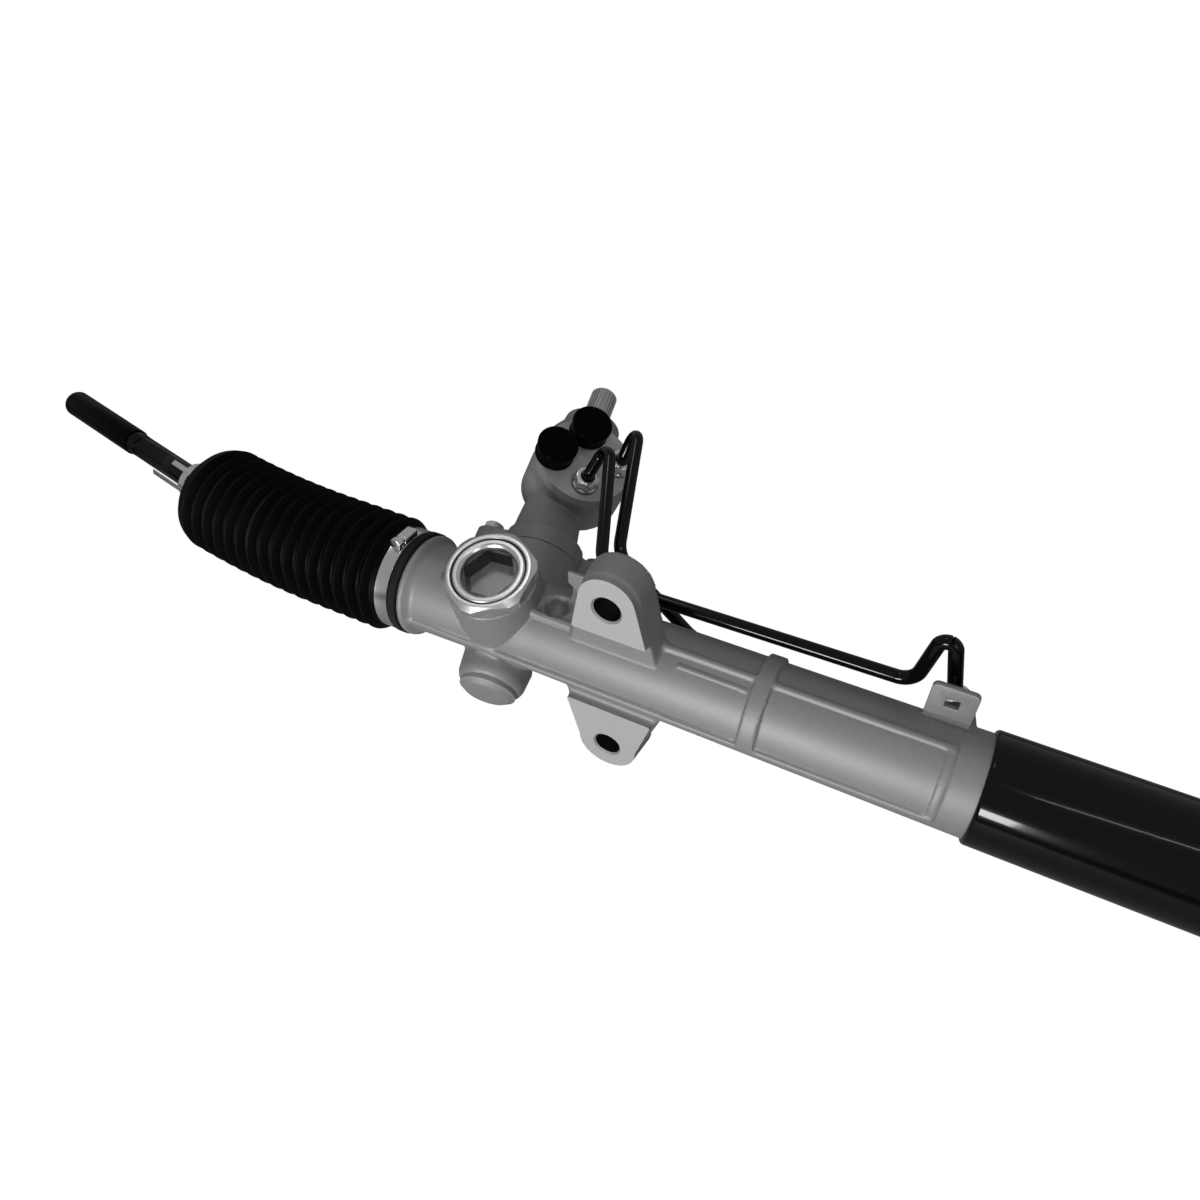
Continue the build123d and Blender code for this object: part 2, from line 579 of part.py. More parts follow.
with BuildPart() as valve_housing:
    with BuildSketch(pin_plane(FLANGE_AT)):
        Circle(TOWER_R)
        flange_arms(15, 8.0)
    extrude(amount=FLANGE_T)
    # tapered neck
    with BuildSketch(pin_plane(FLANGE_AT + FLANGE_T)):
        with Locations((-1.5, 0)):
            Circle(18.6)
    with BuildSketch(pin_plane(84)):
        with Locations((-3.5, 0)):
            Circle(15.4)
    loft()
    # rounded body
    with BuildSketch(PIN_SIDE) as body_half:
        with BuildLine():
            Polyline((VALVE[1], 0), (76, 0), (76, 15.0))
            belly = ThreePointArc((76, 15.0), (79.5, 22.0), (88, 25.6))
            side = Line(belly @ 1, (103, 25.6))
            crown = ThreePointArc(side @ 1, (119, 23.4), (131, 17.4))
            Polyline(crown @ 1, (VALVE[1], 16.4), (VALVE[1], 0))
        make_face()
    revolve(axis=PIN_AXIS)
    # port boss with its flat face
    with BuildSketch(port_plane(*PORT_AT, -6)):
        Circle(27.6)
    extrude(amount=PORT_FACE + 6 - 3.0)
    with BuildSketch(port_plane(*PORT_AT, PORT_FACE - 3.0)):
        Circle(27.6)
    extrude(amount=3.0, taper=40)
    with BuildSketch(port_plane(*PORT_AT, PORT_FACE)):
        Circle(27.6)
    extrude(amount=8.0, mode=Mode.SUBTRACT)
    # bores
    with BuildSketch(PIN_SIDE):
        Polygon((FLANGE_AT - 1, 0), (FLANGE_AT - 1, NECK_BORE), (VALVE[0], NECK_BORE),
                (VALVE[0], VALVE_R), (VALVE[1] + 1, VALVE_R), (VALVE[1] + 1, 0), align=None)
    revolve(axis=PIN_AXIS, mode=Mode.SUBTRACT)
    for port in CAP_PORTS:
        with BuildSketch(port_plane(*port, PORT_FACE + 1)):
            Circle(5.5)
        extrude(amount=-10, mode=Mode.SUBTRACT)
    for port in NUT_PORTS:
        with BuildSketch(port_plane(*port, PORT_FACE + 1)):
            Circle(5.0)
        extrude(amount=-9, mode=Mode.SUBTRACT)
    with BuildSketch(pin_plane(FLANGE_AT)):
        with Locations(*[(b.X, b.Y) for b in VALVE_BOLTS]):
            Circle(3.4)
    extrude(amount=FLANGE_T + 1, mode=Mode.SUBTRACT)
save(valve_housing, "valve_housing")

with BuildPart() as valve_housing_bolts:
    for bolt in VALVE_BOLTS:
        with BuildSketch(pin_plane(FLANGE_AT + FLANGE_T)):
            with Locations((bolt.X, bolt.Y)):
                RegularPolygon(5.0, 6, major_radius=False)
        extrude(amount=5.0)
        with BuildSketch(pin_plane(FLANGE_AT + FLANGE_T)):
            with Locations((bolt.X, bolt.Y)):
                Circle(6.6)
        extrude(amount=1.2)
        with BuildSketch(pin_plane(FLANGE_AT + FLANGE_T)):
            with Locations((bolt.X, bolt.Y)):
                Circle(3.0 - SEAT)
        extrude(amount=-FLANGE_T - GASKET_T - 13)
save(valve_housing_bolts, "valve_housing_bolts")

with BuildPart() as port_caps:
    for port in CAP_PORTS:
        with BuildSketch(port_plane(*port, PORT_FACE)):
            Circle(11.1)
        extrude(amount=8.6)
        with BuildSketch(port_plane(*port, PORT_FACE + 8.6)):
            Circle(11.1)
        extrude(amount=1.8, taper=38)
        with BuildSketch(port_plane(*port, PORT_FACE)):
            Circle(5.5 - SEAT)
        extrude(amount=-7)
save(port_caps, "port_caps")

with BuildPart() as valve_sleeve:
    with BuildSketch(PIN_SIDE):
        bushing(VALVE[0] + 2, HEAD_END, HEAD_R + SEAT, VALVE_R - FIT)
        bushing(HEAD_END, 124.0, 9.0 + SEAT, VALVE_R - FIT)
        for at in RING_AT:
            with Locations((at + 1.1, 13.4)):
                Rectangle(2.2, 2.0, mode=Mode.SUBTRACT)
    revolve(axis=PIN_AXIS)
save(valve_sleeve, "valve_sleeve")

with BuildPart() as sleeve_rings:
    with BuildSketch(PIN_SIDE):
        for at in RING_AT:
            bushing(at + 0.1, at + 2.1, 12.5, VALVE_R - SEAT)
    revolve(axis=PIN_AXIS)
save(sleeve_rings, "sleeve_rings")

with BuildPart() as valve_top_bearing:
    with BuildSketch(PIN_SIDE):
        bushing(125.0, 131.0, 9.0 + SEAT, VALVE_R - SEAT)
    revolve(axis=PIN_AXIS)
save(valve_top_bearing, "valve_top_bearing")

with BuildPart() as input_shaft_seal:
    with BuildSketch(PIN_SIDE):
        bushing(131.4, VALVE[1] - 0.6, 9.0 + SEAT, VALVE_R - SEAT)
    revolve(axis=PIN_AXIS)
save(input_shaft_seal, "input_shaft_seal")

SPLINE_START = 143.0
SPLINES = 24
SPLINE_R = 7.8

with BuildPart() as input_shaft:
    with BuildSketch(PIN_SIDE):
        Polygon((HEAD_END + 0.5, 0), (HEAD_END + 0.5, 9.0), (SPLINE_START - 1.6, 9.0),
                (SPLINE_START, SPLINE_R - 0.7), (SHAFT_END - 0.8, SPLINE_R - 0.7),
                (SHAFT_END, SPLINE_R - 1.5), (SHAFT_END, 0), align=None)
    revolve(axis=PIN_AXIS)
    with BuildSketch(pin_plane(SPLINE_START - 0.4)):
        with PolarLocations(0, SPLINES):
            Polygon((SPLINE_R - 1.2, -0.62), (SPLINE_R, -0.3), (SPLINE_R, 0.3),
                    (SPLINE_R - 1.2, 0.62), align=None)
    extrude(amount=SHAFT_END - SPLINE_START - 1.0)
    with BuildSketch(pin_plane(HEAD_END)):
        Circle(TORSION_R + FIT)
    extrude(amount=51, mode=Mode.SUBTRACT)
save(input_shaft, "input_shaft")

with BuildPart() as torsion_bar:
    with BuildSketch(PIN_SIDE):
        Polygon((BAR_END, 0), (BAR_END, TORSION_R), (BAR_END + 12, TORSION_R),
                (BAR_END + 16, 2.2), (129, 2.2), (133, TORSION_R), (144, TORSION_R), (144, 0),
                align=None)
    revolve(axis=PIN_AXIS)
save(torsion_bar, "torsion_bar")


# Hydraulic cylinder: tube, bulkhead, piston, seals and bushes

BULK_IN = RIGHT_MOUTH - 32.4
TUBE_END = RIGHT_MOUTH - RING_W
PISTON_W = 20.0
PISTON_X = (SPIGOT_END + BULK_IN) / 2
TUBE_PORT_X = 356.0
LONG_DIR = unit(Vector(0, 41.0, -17.0))
LONG_RUN = 44.4               # distance of the long pipe from the rack axis
LONG_PEAK = 60.0
BOSS_TOP = 33.0


def beside(x, reach):
    """Point beside the tube, on the level of the long pipe."""
    return Vector(x, RACK_Y, 0) + LONG_DIR * reach



with BuildPart() as cylinder_tube:
    with BuildSketch(RACK_SIDE):
        Polygon((TUBE_START + 0.1, TUBE_IN), (TUBE_END - 0.1, TUBE_IN), (TUBE_END - 0.1, TUBE_R - 0.8),
                (TUBE_END - 0.9, TUBE_R), (TUBE_START + 1.3, TUBE_R), (TUBE_START + 0.4, TUBE_R - 0.5),
                (TUBE_START + 0.1, TUBE_R - 1.2), align=None)
    revolve(axis=RACK_AXIS)
    boss = Plane(origin=beside(TUBE_PORT_X, BOSS_TOP), x_dir=(1, 0, 0), z_dir=LONG_DIR)
    with BuildSketch(boss):
        Circle(8.0)
    extrude(amount=TUBE_R - 1.5 - BOSS_TOP)
    with BuildSketch(boss):
        Circle(4.5)
    extrude(amount=-8.5, mode=Mode.SUBTRACT)
    with BuildSketch(boss):
        Circle(PIPE_BORE)
    extrude(amount=-14, mode=Mode.SUBTRACT)
save(cylinder_tube, "cylinder_tube")

with BuildPart() as end_bulkhead:
    with BuildSketch(RACK_SIDE):
        Polygon((BULK_IN, BAR_R + 0.6), (BULK_IN, TUBE_IN - SEAT), (TUBE_END, TUBE_IN - SEAT),
                (TUBE_END, RING_R - 1.4), (TUBE_END + 1.4, RING_R), (RIGHT_MOUTH - 1.2, RING_R),
                (RIGHT_MOUTH, RING_R - 1.2), (RIGHT_MOUTH, SEAT_R), (RIGHT_MOUTH + SEAT_L, SEAT_R),
                (RIGHT_MOUTH + SEAT_L, MOUTH_BORE_R), (RIGHT_MOUTH + 6, MOUTH_BORE_R),
                (RIGHT_MOUTH + 5, SEAL_R), (BULK_IN + 5, SEAL_R), (BULK_IN + 5, BAR_R + 0.6),
                align=None)
    revolve(axis=RACK_AXIS)
save(end_bulkhead, "end_bulkhead")

with BuildPart() as outer_rack_seal:
    with BuildSketch(RACK_SIDE):
        strip(BULK_IN + 5, BULK_IN + 13, BAR_R + FIT, SEAL_R - SEAT)
    revolve(axis=RACK_AXIS)
save(outer_rack_seal, "outer_rack_seal")

with BuildPart() as rack_bush:
    with BuildSketch(RACK_SIDE):
        strip(BULK_IN + 13.2, RIGHT_MOUTH + 3, BAR_R + FIT, SEAL_R - SEAT)
    revolve(axis=RACK_AXIS)
save(rack_bush, "rack_bush")

with BuildPart() as inner_rack_seal:
    with BuildSketch(RACK_SIDE):
        strip(SEAL_X, SEAL_X + SEAL_W, BAR_R + FIT, SEAL_R - SEAT)
    revolve(axis=RACK_AXIS)
save(inner_rack_seal, "inner_rack_seal")

with BuildPart() as seal_retainer:
    with BuildSketch(RACK_SIDE):
        strip(SEAL_X + SEAL_W + 0.2, SEAL_X + SEAL_W + 5.2, BAR_R + 0.4, SEAL_R - SEAT)
    revolve(axis=RACK_AXIS)
save(seal_retainer, "seal_retainer")

with BuildPart() as piston:
    with BuildSketch(RACK_SIDE):
        strip(PISTON_X - PISTON_W / 2, PISTON_X + PISTON_W / 2, BAR_R + SEAT, TUBE_IN - 0.3)
        with Locations((PISTON_X, TUBE_IN - 1.3)):
            Rectangle(4.4, 2.6, mode=Mode.SUBTRACT)
    revolve(axis=RACK_AXIS)
save(piston, "piston")

with BuildPart() as piston_ring:
    with BuildSketch(RACK_SIDE):
        strip(PISTON_X - 2, PISTON_X + 2, TUBE_IN - 2.5, TUBE_IN - FIT)
    revolve(axis=RACK_AXIS)
save(piston_ring, "piston_ring")

# rubber bush round the tube and the steel saddle that clamps it
MOUNT_X = 300.0
MOUNT_W = 40.0
MOUNT_R = 30.0
STRAP_T = 3.0
SADDLE_HOLE_Z = 48.0

with BuildPart() as mount_bush:
    with BuildSketch(RACK_SIDE):
        Polygon((MOUNT_X - MOUNT_W / 2, TUBE_R + SEAT), (MOUNT_X + MOUNT_W / 2, TUBE_R + SEAT),
                (MOUNT_X + MOUNT_W / 2, MOUNT_R + 2.5), (MOUNT_X + MOUNT_W / 2 - 4, MOUNT_R + 2.5),
                (MOUNT_X + MOUNT_W / 2 - 4, MOUNT_R), (MOUNT_X - MOUNT_W / 2 + 4, MOUNT_R),
                (MOUNT_X - MOUNT_W / 2 + 4, MOUNT_R + 2.5), (MOUNT_X - MOUNT_W / 2, MOUNT_R + 2.5),
                align=None)
    revolve(axis=RACK_AXIS)
save(mount_bush, "mount_bush")

with BuildPart() as mount_saddle:
    with BuildSketch(rack_plane(MOUNT_X - MOUNT_W / 2 + 4.4)):
        Circle(MOUNT_R + SEAT + STRAP_T)
        with Locations((-RACK_Y / 2, 0)):
            Rectangle(RACK_Y, 2 * (MOUNT_R + SEAT + STRAP_T))
        Circle(MOUNT_R + SEAT, mode=Mode.SUBTRACT)
        with Locations((-20, 0)):
            Rectangle(40, 2 * (MOUNT_R + SEAT), mode=Mode.SUBTRACT)
        with Locations((-30 - RACK_Y, 0)):
            Rectangle(60, 80, mode=Mode.SUBTRACT)
        with Locations((-RACK_Y + STRAP_T / 2, 46.0), (-RACK_Y + STRAP_T / 2, -46.0)):
            Rectangle(STRAP_T, 30)
    extrude(amount=MOUNT_W - 8.8)
    with BuildSketch(LUG_BACK.offset(-1)):
        with Locations((-MOUNT_X, SADDLE_HOLE_Z), (-MOUNT_X, -SADDLE_HOLE_Z)):
            Circle(5.3)
    extrude(amount=STRAP_T + 3, mode=Mode.SUBTRACT)
    corners = mount_saddle.edges().filter_by(Axis.Y).filter_by(lambda e: e.length < STRAP_T + 0.1)
    fillet([e for e in corners if abs(e.center().Z) > 58], 7)
save(mount_saddle, "mount_saddle")


# Rigid pipes between the valve and the two cylinder chambers

def pipe_point(along, across, height):
    return PIN_O + PIN_U * along + PORT_V * across + PORT_Q * height


SHORT_Y = RACK_Y + 22.0
SHORT_ROUTE = [
    pipe_point(*NUT_PORTS[0], 16), pipe_point(*NUT_PORTS[0], 33), pipe_point(98.5, 9, 50.5),
    Vector(-27, RACK_Y + 30, 27), Vector(-8, SHORT_Y, 21), Vector(126.0, SHORT_Y, 24.0),
    Vector(131.0, SHORT_Y + 0.5, PORT_PEAK.Z + 1), PORT_PEAK, PORT_SEAT - PORT_DIR * 4,
]
SHORT_BENDS = [5.0, 6.5, 14.0, 14.0, 9.0, 4.0, 4.0]
LONG_Z = -17.0
LONG_Y = RACK_Y + 41.0
LONG_ROUTE = [
    pipe_point(*NUT_PORTS[1], 16), pipe_point(*NUT_PORTS[1], 33), pipe_point(117, 20, 51),
    Vector(-22.9, LONG_Y - 1, 23), Vector(20, LONG_Y, LONG_Z), beside(332, LONG_RUN),
    beside(343, LONG_PEAK), beside(TUBE_PORT_X, LONG_PEAK), beside(TUBE_PORT_X, BOSS_TOP - 4),
]
LONG_BENDS = [5.0, 6.5, 14.0, 14.0, 10.0, 6.0, 6.0]

for label, route, bends in (("short_pipe", SHORT_ROUTE, SHORT_BENDS),
                            ("long_pipe", LONG_ROUTE, LONG_BENDS)):
    with BuildPart() as pipe:
        with BuildLine() as centre_line:
            FilletPolyline(*route, radius=bends)
        with BuildSketch(Plane(origin=route[0], z_dir=route[1] - route[0])):
            Circle(PIPE_R)
        sweep(path=centre_line.line)
    save(pipe, label)

# flare nuts: two at the valve, one at each end
NUT_LENGTH = 13.0
with BuildPart() as flare_nuts:
    seats = [(pipe_point(*port, PORT_FACE), PORT_Q) for port in NUT_PORTS]
    seats += [(PORT_SEAT, PORT_DIR), (beside(TUBE_PORT_X, BOSS_TOP), LONG_DIR)]
    for seat, way in seats:
        with BuildSketch(Plane(origin=seat, z_dir=way)):
            Circle(6.6)
            Circle(PIPE_R + SEAT, mode=Mode.SUBTRACT)
        extrude(amount=1.0)
        with BuildSketch(Plane(origin=seat + way * 1.0, z_dir=way)):
            RegularPolygon(6.0, 6, major_radius=False)
            Circle(PIPE_R + SEAT, mode=Mode.SUBTRACT)
        extrude(amount=6.6)
        with BuildSketch(Plane(origin=seat, z_dir=way)):
            Circle(4.5 - SEAT)
            Circle(PIPE_R + SEAT, mode=Mode.SUBTRACT)
        extrude(amount=-7.0)
save(flare_nuts, "flare_nuts")


# Inner ball joints, tie rods, boots and clamps, one set for each side

HEAD_IN = 32.0                # ball centre to the shoulder on the rack bar
JOINT_R = 17.4
CAVITY_R = 13.6
LIP_R = 10.3
SEAT_EDGE = 115.0             # front edge of the ball seat, from the rack axis
SOCKET_EDGE = 74.0            # the socket narrows to the ball here
LIP_EDGE = 66.0               # mouth of the socket
ROD_END = 110.0
THREAD_END = 166.0
CAP_END = 171.5
ARC_T = 58.0                  # tangent length of the bend of the boot
ARC_R = ARC_T / tan(radians(ROD_TILT) / 2)
STRAIGHT = MOUTH_IN - ARC_T
ARC_L = ARC_R * radians(ROD_TILT)
BAND_AT = (4.8, 12.8)
SCREW_TURN = 86.0
SMALL_CUFF_END = 56.0


def on_rod(side, along):
    centre = Vector(side_x(side, 0), RACK_Y, 0)
    return Plane(origin=centre + rod_dir(side) * along, x_dir=(0, 1, 0), z_dir=rod_dir(side))


def rod_profile(side):
    """Half plane along a tie rod: local x outwards along the rod, local y across it."""
    way = rod_dir(side)
    across = unit(Vector(0, 0, 1) - way * way.Z)
    centre = Vector(side_x(side, 0), RACK_Y, 0)
    return Plane(origin=centre, x_dir=way, z_dir=way.cross(across))


def rack_profile(side):
    """Half plane along the rack: local x outwards from a ball centre, local y up."""
    centre = Vector(side_x(side, 0), RACK_Y, 0)
    return Plane(origin=centre, x_dir=(side, 0, 0), z_dir=(0, -side, 0))


def boot_plane(side, along):
    """Work plane of a boot section, measured from the mouth ring along its centre line."""
    centre = Vector(side_x(side, 0), RACK_Y, 0)
    lift = unit(rod_dir(side) - Vector(rod_dir(side).X, 0, 0))
    out = Vector(side, 0, 0)
    if along <= STRAIGHT:
        return Plane(origin=centre + out * (along - MOUTH_IN), z_dir=out, x_dir=(0, 1, 0))
    turn = min((along - STRAIGHT) / ARC_R, radians(ROD_TILT))
    way = out * cos(turn) + lift * sin(turn)
    at = centre + out * (ARC_R * sin(turn) - ARC_T) + lift * (ARC_R * (1 - cos(turn)))
    at = at + way * max(0.0, along - STRAIGHT - ARC_L)
    return Plane(origin=at, z_dir=way, x_dir=way.cross(Vector(0, 1, 0)))


BOOT_END = STRAIGHT + ARC_L + SMALL_CUFF_END - ARC_T
FOLD_START = CUFF + 1.0
FOLD_END = STRAIGHT + ARC_L + 30.0 - ARC_T
FOLD = (FOLD_END - FOLD_START) / FOLDS
BOOT_WALL = 1.6
CUFF_R = 9.6
TANG_AT = 48.2                # middle of the spring clamp along the rod
TANG_W = 3.2
TANGS = ((85.0, 15.0), (170.0, 26.0))      # place round the rod and length of each tang

for side, name in ((-1, "left"), (1, "right")):
    with BuildPart() as ball_housing:
        with BuildSketch(rack_profile(side)):
            with BuildLine():
                socket = CenterArc((0, 0), CAVITY_R, SOCKET_EDGE, 180 - SOCKET_EDGE)
                grip = CenterArc((0, 0), BALL_R + FIT, LIP_EDGE, SOCKET_EDGE - LIP_EDGE)
                Line(socket @ 0, grip @ 1)
                Polyline(grip @ 0, (7.0, LIP_R + 2.0), (7.0, JOINT_R - 3.2), (2.0, JOINT_R),
                         (-HEAD_IN + 1, JOINT_R), (-HEAD_IN, JOINT_R - 1),
                         (-HEAD_IN, STUD_R - SEAT), (-HEAD_IN - STUD_L, STUD_R - SEAT),
                         (-HEAD_IN - STUD_L, 0), socket @ 1)
            make_face()
        revolve(axis=RACK_AXIS)
        for flat_side in (1, -1):
            with BuildSketch(Plane(origin=(side_x(side, -24), RACK_Y + flat_side * 16.0, 0),
                                   x_dir=(1, 0, 0), z_dir=(0, flat_side, 0))):
                Rectangle(10, 40)
            extrude(amount=5, mode=Mode.SUBTRACT)
    save(ball_housing, f"inner_ball_housing_{name}")

    with BuildPart() as ball_seat:
        # cup that turns in the housing with the ball
        with BuildSketch(rack_profile(side)):
            with BuildLine():
                inner = CenterArc((0, 0), BALL_R + FIT, SEAT_EDGE, 180 - SEAT_EDGE)
                outer = CenterArc((0, 0), CAVITY_R - FIT, SEAT_EDGE, 180 - SEAT_EDGE)
                Line(inner @ 0, outer @ 0)
                Line(inner @ 1, outer @ 1)
            make_face()
        revolve(axis=RACK_AXIS)
    save(ball_seat, f"ball_seat_{name}")

    with BuildPart() as tie_rod:
        neck = 5.4
        with BuildSketch(rod_profile(side)):
            with BuildLine():
                start = sqrt(BALL_R ** 2 - neck ** 2)
                ball = ThreePointArc((-BALL_R, 0), (0, BALL_R), (start, neck))
                Polyline(ball @ 1, (15.5, neck), (18.5, ROD_R), (THREAD_END - 1, ROD_R),
                         (THREAD_END, ROD_R - 1), (THREAD_END, 0), ball @ 0)
            make_face()
        revolve(axis=Axis((side_x(side, 0), RACK_Y, 0), rod_dir(side)))
        for flat_side in (1, -1):
            plane = on_rod(side, 92)
            with BuildSketch(Plane(origin=plane.origin + plane.y_dir * flat_side * (ROD_R - 1.0),
                                   x_dir=plane.z_dir, z_dir=plane.y_dir * flat_side)):
                Rectangle(13, 16)
            extrude(amount=3, mode=Mode.SUBTRACT)
    save(tie_rod, f"tie_rod_{name}")

    with BuildPart() as rod_cap:
        with BuildSketch(rod_profile(side)):
            Polygon((ROD_END, ROD_R + SEAT), (ROD_END, CAP_R), (CAP_END - 2.5, CAP_R),
                    (CAP_END - 0.8, CAP_R - 0.8), (CAP_END, CAP_R - 2.6), (CAP_END, 0),
                    (THREAD_END + 1, 0), (THREAD_END + 1, ROD_R + SEAT), align=None)
        revolve(axis=Axis((side_x(side, 0), RACK_Y, 0), rod_dir(side)))
    save(rod_cap, f"rod_cap_{name}")

    with BuildPart() as boot:
        stations = [(0, 27.2), (BAND_AT[0] - 0.6, 27.2), (BAND_AT[0], 25.6), (BAND_AT[1], 25.6),
                    (FOLD_START, VALLEY_R)]
        for i in range(FOLDS):
            stations.append((FOLD_START + (i + 0.5) * FOLD, CREST_R))
            stations.append((FOLD_START + (i + 1) * FOLD, VALLEY_R))
        stations[-1] = (FOLD_END, CREST_R - 3.5)
        stations += [(FOLD_END + 6.0, 24.0), (FOLD_END + 11.0, 16.0), (FOLD_END + 14.0, CUFF_R),
                     (BOOT_END, CUFF_R)]
        for along, radius in stations:
            with BuildSketch(boot_plane(side, along)):
                Circle(radius)
        loft(ruled=True)
        inside = [(-0.01, SEAT_R + SEAT), (SEAT_L, SEAT_R + SEAT), (SEAT_L + 1, VALLEY_R - BOOT_WALL),
                  (FOLD_END, VALLEY_R - BOOT_WALL), (FOLD_END + 5.0, 21.0),
                  (FOLD_END + 11.0, ROD_R + 0.3), (BOOT_END + 0.01, ROD_R + 0.3)]
        for along, radius in inside:
            with BuildSketch(boot_plane(side, along)):
                Circle(radius)
        loft(ruled=True, mode=Mode.SUBTRACT)
    save(boot, f"boot_{name}")

    with BuildPart() as boot_clamp:
        with BuildSketch(rack_profile(side)):
            strip(BAND_AT[0] + 0.2 - MOUTH_IN, BAND_AT[1] - 0.2 - MOUTH_IN, 25.65, 26.7)
        revolve(axis=RACK_AXIS)
        # worm housing and the head of its screw
        turn = radians(SCREW_TURN)
        up = Vector(0, cos(turn), sin(turn))
        round_way = Vector(0, -sin(turn), cos(turn))
        seat_x = side_x(side, BAND_AT[0] + 3.2 - MOUTH_IN)
        block = Plane(origin=Vector(seat_x, RACK_Y, 0) + up * 26.2, x_dir=(1, 0, 0), z_dir=up)
        with BuildSketch(block):
            RectangleRounded(6.0, 10.0, 1.5)
        extrude(amount=4.2)
        screw = Plane(origin=Vector(seat_x, RACK_Y, 0) + up * 28.8 + round_way * 5.0,
                      z_dir=round_way, x_dir=(1, 0, 0))
        with BuildSketch(screw):
            Circle(1.6)
        extrude(amount=3.0)
        with BuildSketch(screw.offset(1.5)):
            RegularPolygon(2.9, 6, major_radius=False)
        extrude(amount=3.6)
    save(boot_clamp, f"boot_clamp_{name}")

    with BuildPart() as spring_clamp:
        with BuildSketch(rod_profile(side)):
            Polygon((TANG_AT - 3.2, CUFF_R + 0.2), (TANG_AT + 3.2, CUFF_R + 0.2),
                    (TANG_AT + 3.2, CUFF_R + 1.5), (TANG_AT - 3.2, CUFF_R + 1.5), align=None)
        revolve(axis=Axis((side_x(side, 0), RACK_Y, 0), rod_dir(side)))
        # two tangs that stand out and point along the rod
        for around, tang_l in TANGS:
            turn = radians(around)
            reach = Vector(0, cos(turn), sin(turn))
            reach = unit(reach - rod_dir(side) * reach.dot(rod_dir(side)))
            foot = on_rod(side, TANG_AT).origin + reach * (CUFF_R + 0.8)
            with BuildSketch(Plane(origin=foot, x_dir=rod_dir(side), z_dir=reach)):
                Rectangle(TANG_W, TANG_W)
            extrude(amount=1.8)
            with BuildSketch(Plane(origin=foot + reach * 1.2, x_dir=rod_dir(side), z_dir=reach)):
                with Locations((tang_l / 2 - TANG_W / 2, 0)):
                    Rectangle(tang_l, TANG_W)
            extrude(amount=0.9)
    save(spring_clamp, f"spring_clamp_{name}")
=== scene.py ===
"""Looks of the hydraulic steering rack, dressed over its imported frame."""

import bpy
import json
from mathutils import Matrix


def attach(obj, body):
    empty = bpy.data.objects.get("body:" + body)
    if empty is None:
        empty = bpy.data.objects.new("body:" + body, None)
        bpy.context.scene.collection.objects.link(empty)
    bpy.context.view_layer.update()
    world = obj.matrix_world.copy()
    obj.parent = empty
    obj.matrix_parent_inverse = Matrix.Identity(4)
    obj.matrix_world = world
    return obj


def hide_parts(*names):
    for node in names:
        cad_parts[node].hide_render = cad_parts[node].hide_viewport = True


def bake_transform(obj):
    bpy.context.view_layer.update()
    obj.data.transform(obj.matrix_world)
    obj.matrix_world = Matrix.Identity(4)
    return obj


bl_info = {
    "name": "Steering rack looks",
    "version": (1, 0, 0),
    "blender": (4, 5, 0),
    "location": "3D View > Sidebar > Steering rack",
    "description": "Builds the cast housings, bellows, pipes and fittings of a steering rack",
    "category": "Object",
}

import json
from math import cos, pi, radians, sin, tan

import bpy
import numpy as np
from bpy.props import FloatProperty, FloatVectorProperty, IntProperty, PointerProperty
from mathutils import Matrix, Vector

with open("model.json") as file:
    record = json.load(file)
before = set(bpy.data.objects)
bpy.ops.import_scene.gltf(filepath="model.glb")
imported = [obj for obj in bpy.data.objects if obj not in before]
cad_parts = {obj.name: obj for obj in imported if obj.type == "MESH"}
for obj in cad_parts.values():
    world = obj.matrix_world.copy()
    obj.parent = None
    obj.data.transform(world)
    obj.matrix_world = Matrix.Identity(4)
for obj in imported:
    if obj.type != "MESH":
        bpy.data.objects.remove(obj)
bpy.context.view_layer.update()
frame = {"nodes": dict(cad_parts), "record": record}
MM = 0.001


# Layout of the gear, in millimetres, as in the frame

RACK_Y = 18.5
MID_X = 143.0
BALL_HALF = 370.0
MOUTH_IN = 113.6
TUBE_START = 163.0
TUBE_END = 395.0
TUBE_PORT_X = 356.0
TAB_X = 142.7
TAB_Y = 27.4
TAB_T = 2.6
GASKET_AT = 42.5
GASKET_T = 0.8
VALVE_END = 138.0
PORT_FACE = 24.0
SPOT_DEPTH = 1.2
EAR_HOLE_Z = 46.7
EAR_HOLE_R = 6.6
PLUG_TOP = 40.4
NUT_T = 6.9
BOSS_TOP = 33.0
CUFF_R = 9.6
TANG_AT = 48.2
BAND = (4.8, 12.8)

# Bores, as radii

RACK_BORE_R = 14.5
MOUTH_BORE_R = 19.0
PIN_LOW_BORE_R = 11.0
PIN_BORE_R = 17.5
YOKE_BORE_R = 15.0
PLUG_THREAD_R = 17.3
VALVE_BORE_R = 14.0
NUT_PORT_R = 4.5
CAP_PORT_R = 5.2
SOCKET_R = 13.4

# Outside radii of the castings, and their change per mm along their axes

BARREL_R = 22.2
BARREL_TAPER = 1 / 203
MOUTH_R = 21.34
MOUTH_TAPER = -0.0164
PIN_BOSS_R = 23.5
PIN_BOSS_TAPER = -tan(radians(2))
YOKE_BOSS_R = 23.0
YOKE_BOSS_TAPER = -tan(radians(1.2))
VALVE_R = 25.6
VALVE_TAPER = -0.1375

# Metal that is added before a skin is rounded, and milled off after it

LUG_STOCK = 1.1
HOUSING_STOCK = 2.5
VALVE_STOCK = 2.0
MILL_T = 30
MILL = (90, 90, MILL_T)

# Angles and directions. YOKE_N and PIN_U are the axes of the yoke and the pinion, PORT_Q the normal of
# the valve's port face, and LONG_DIR points from the rack's axis to the tube's far port

YOKE_TILT = radians(16.5)
PIN_SKEW = radians(-8.5)
PORT_TURN = radians(25)
ROD_TILT = radians(10.8)
ROD_LIFT = radians(29.6)
BEND_STEP = radians(6)

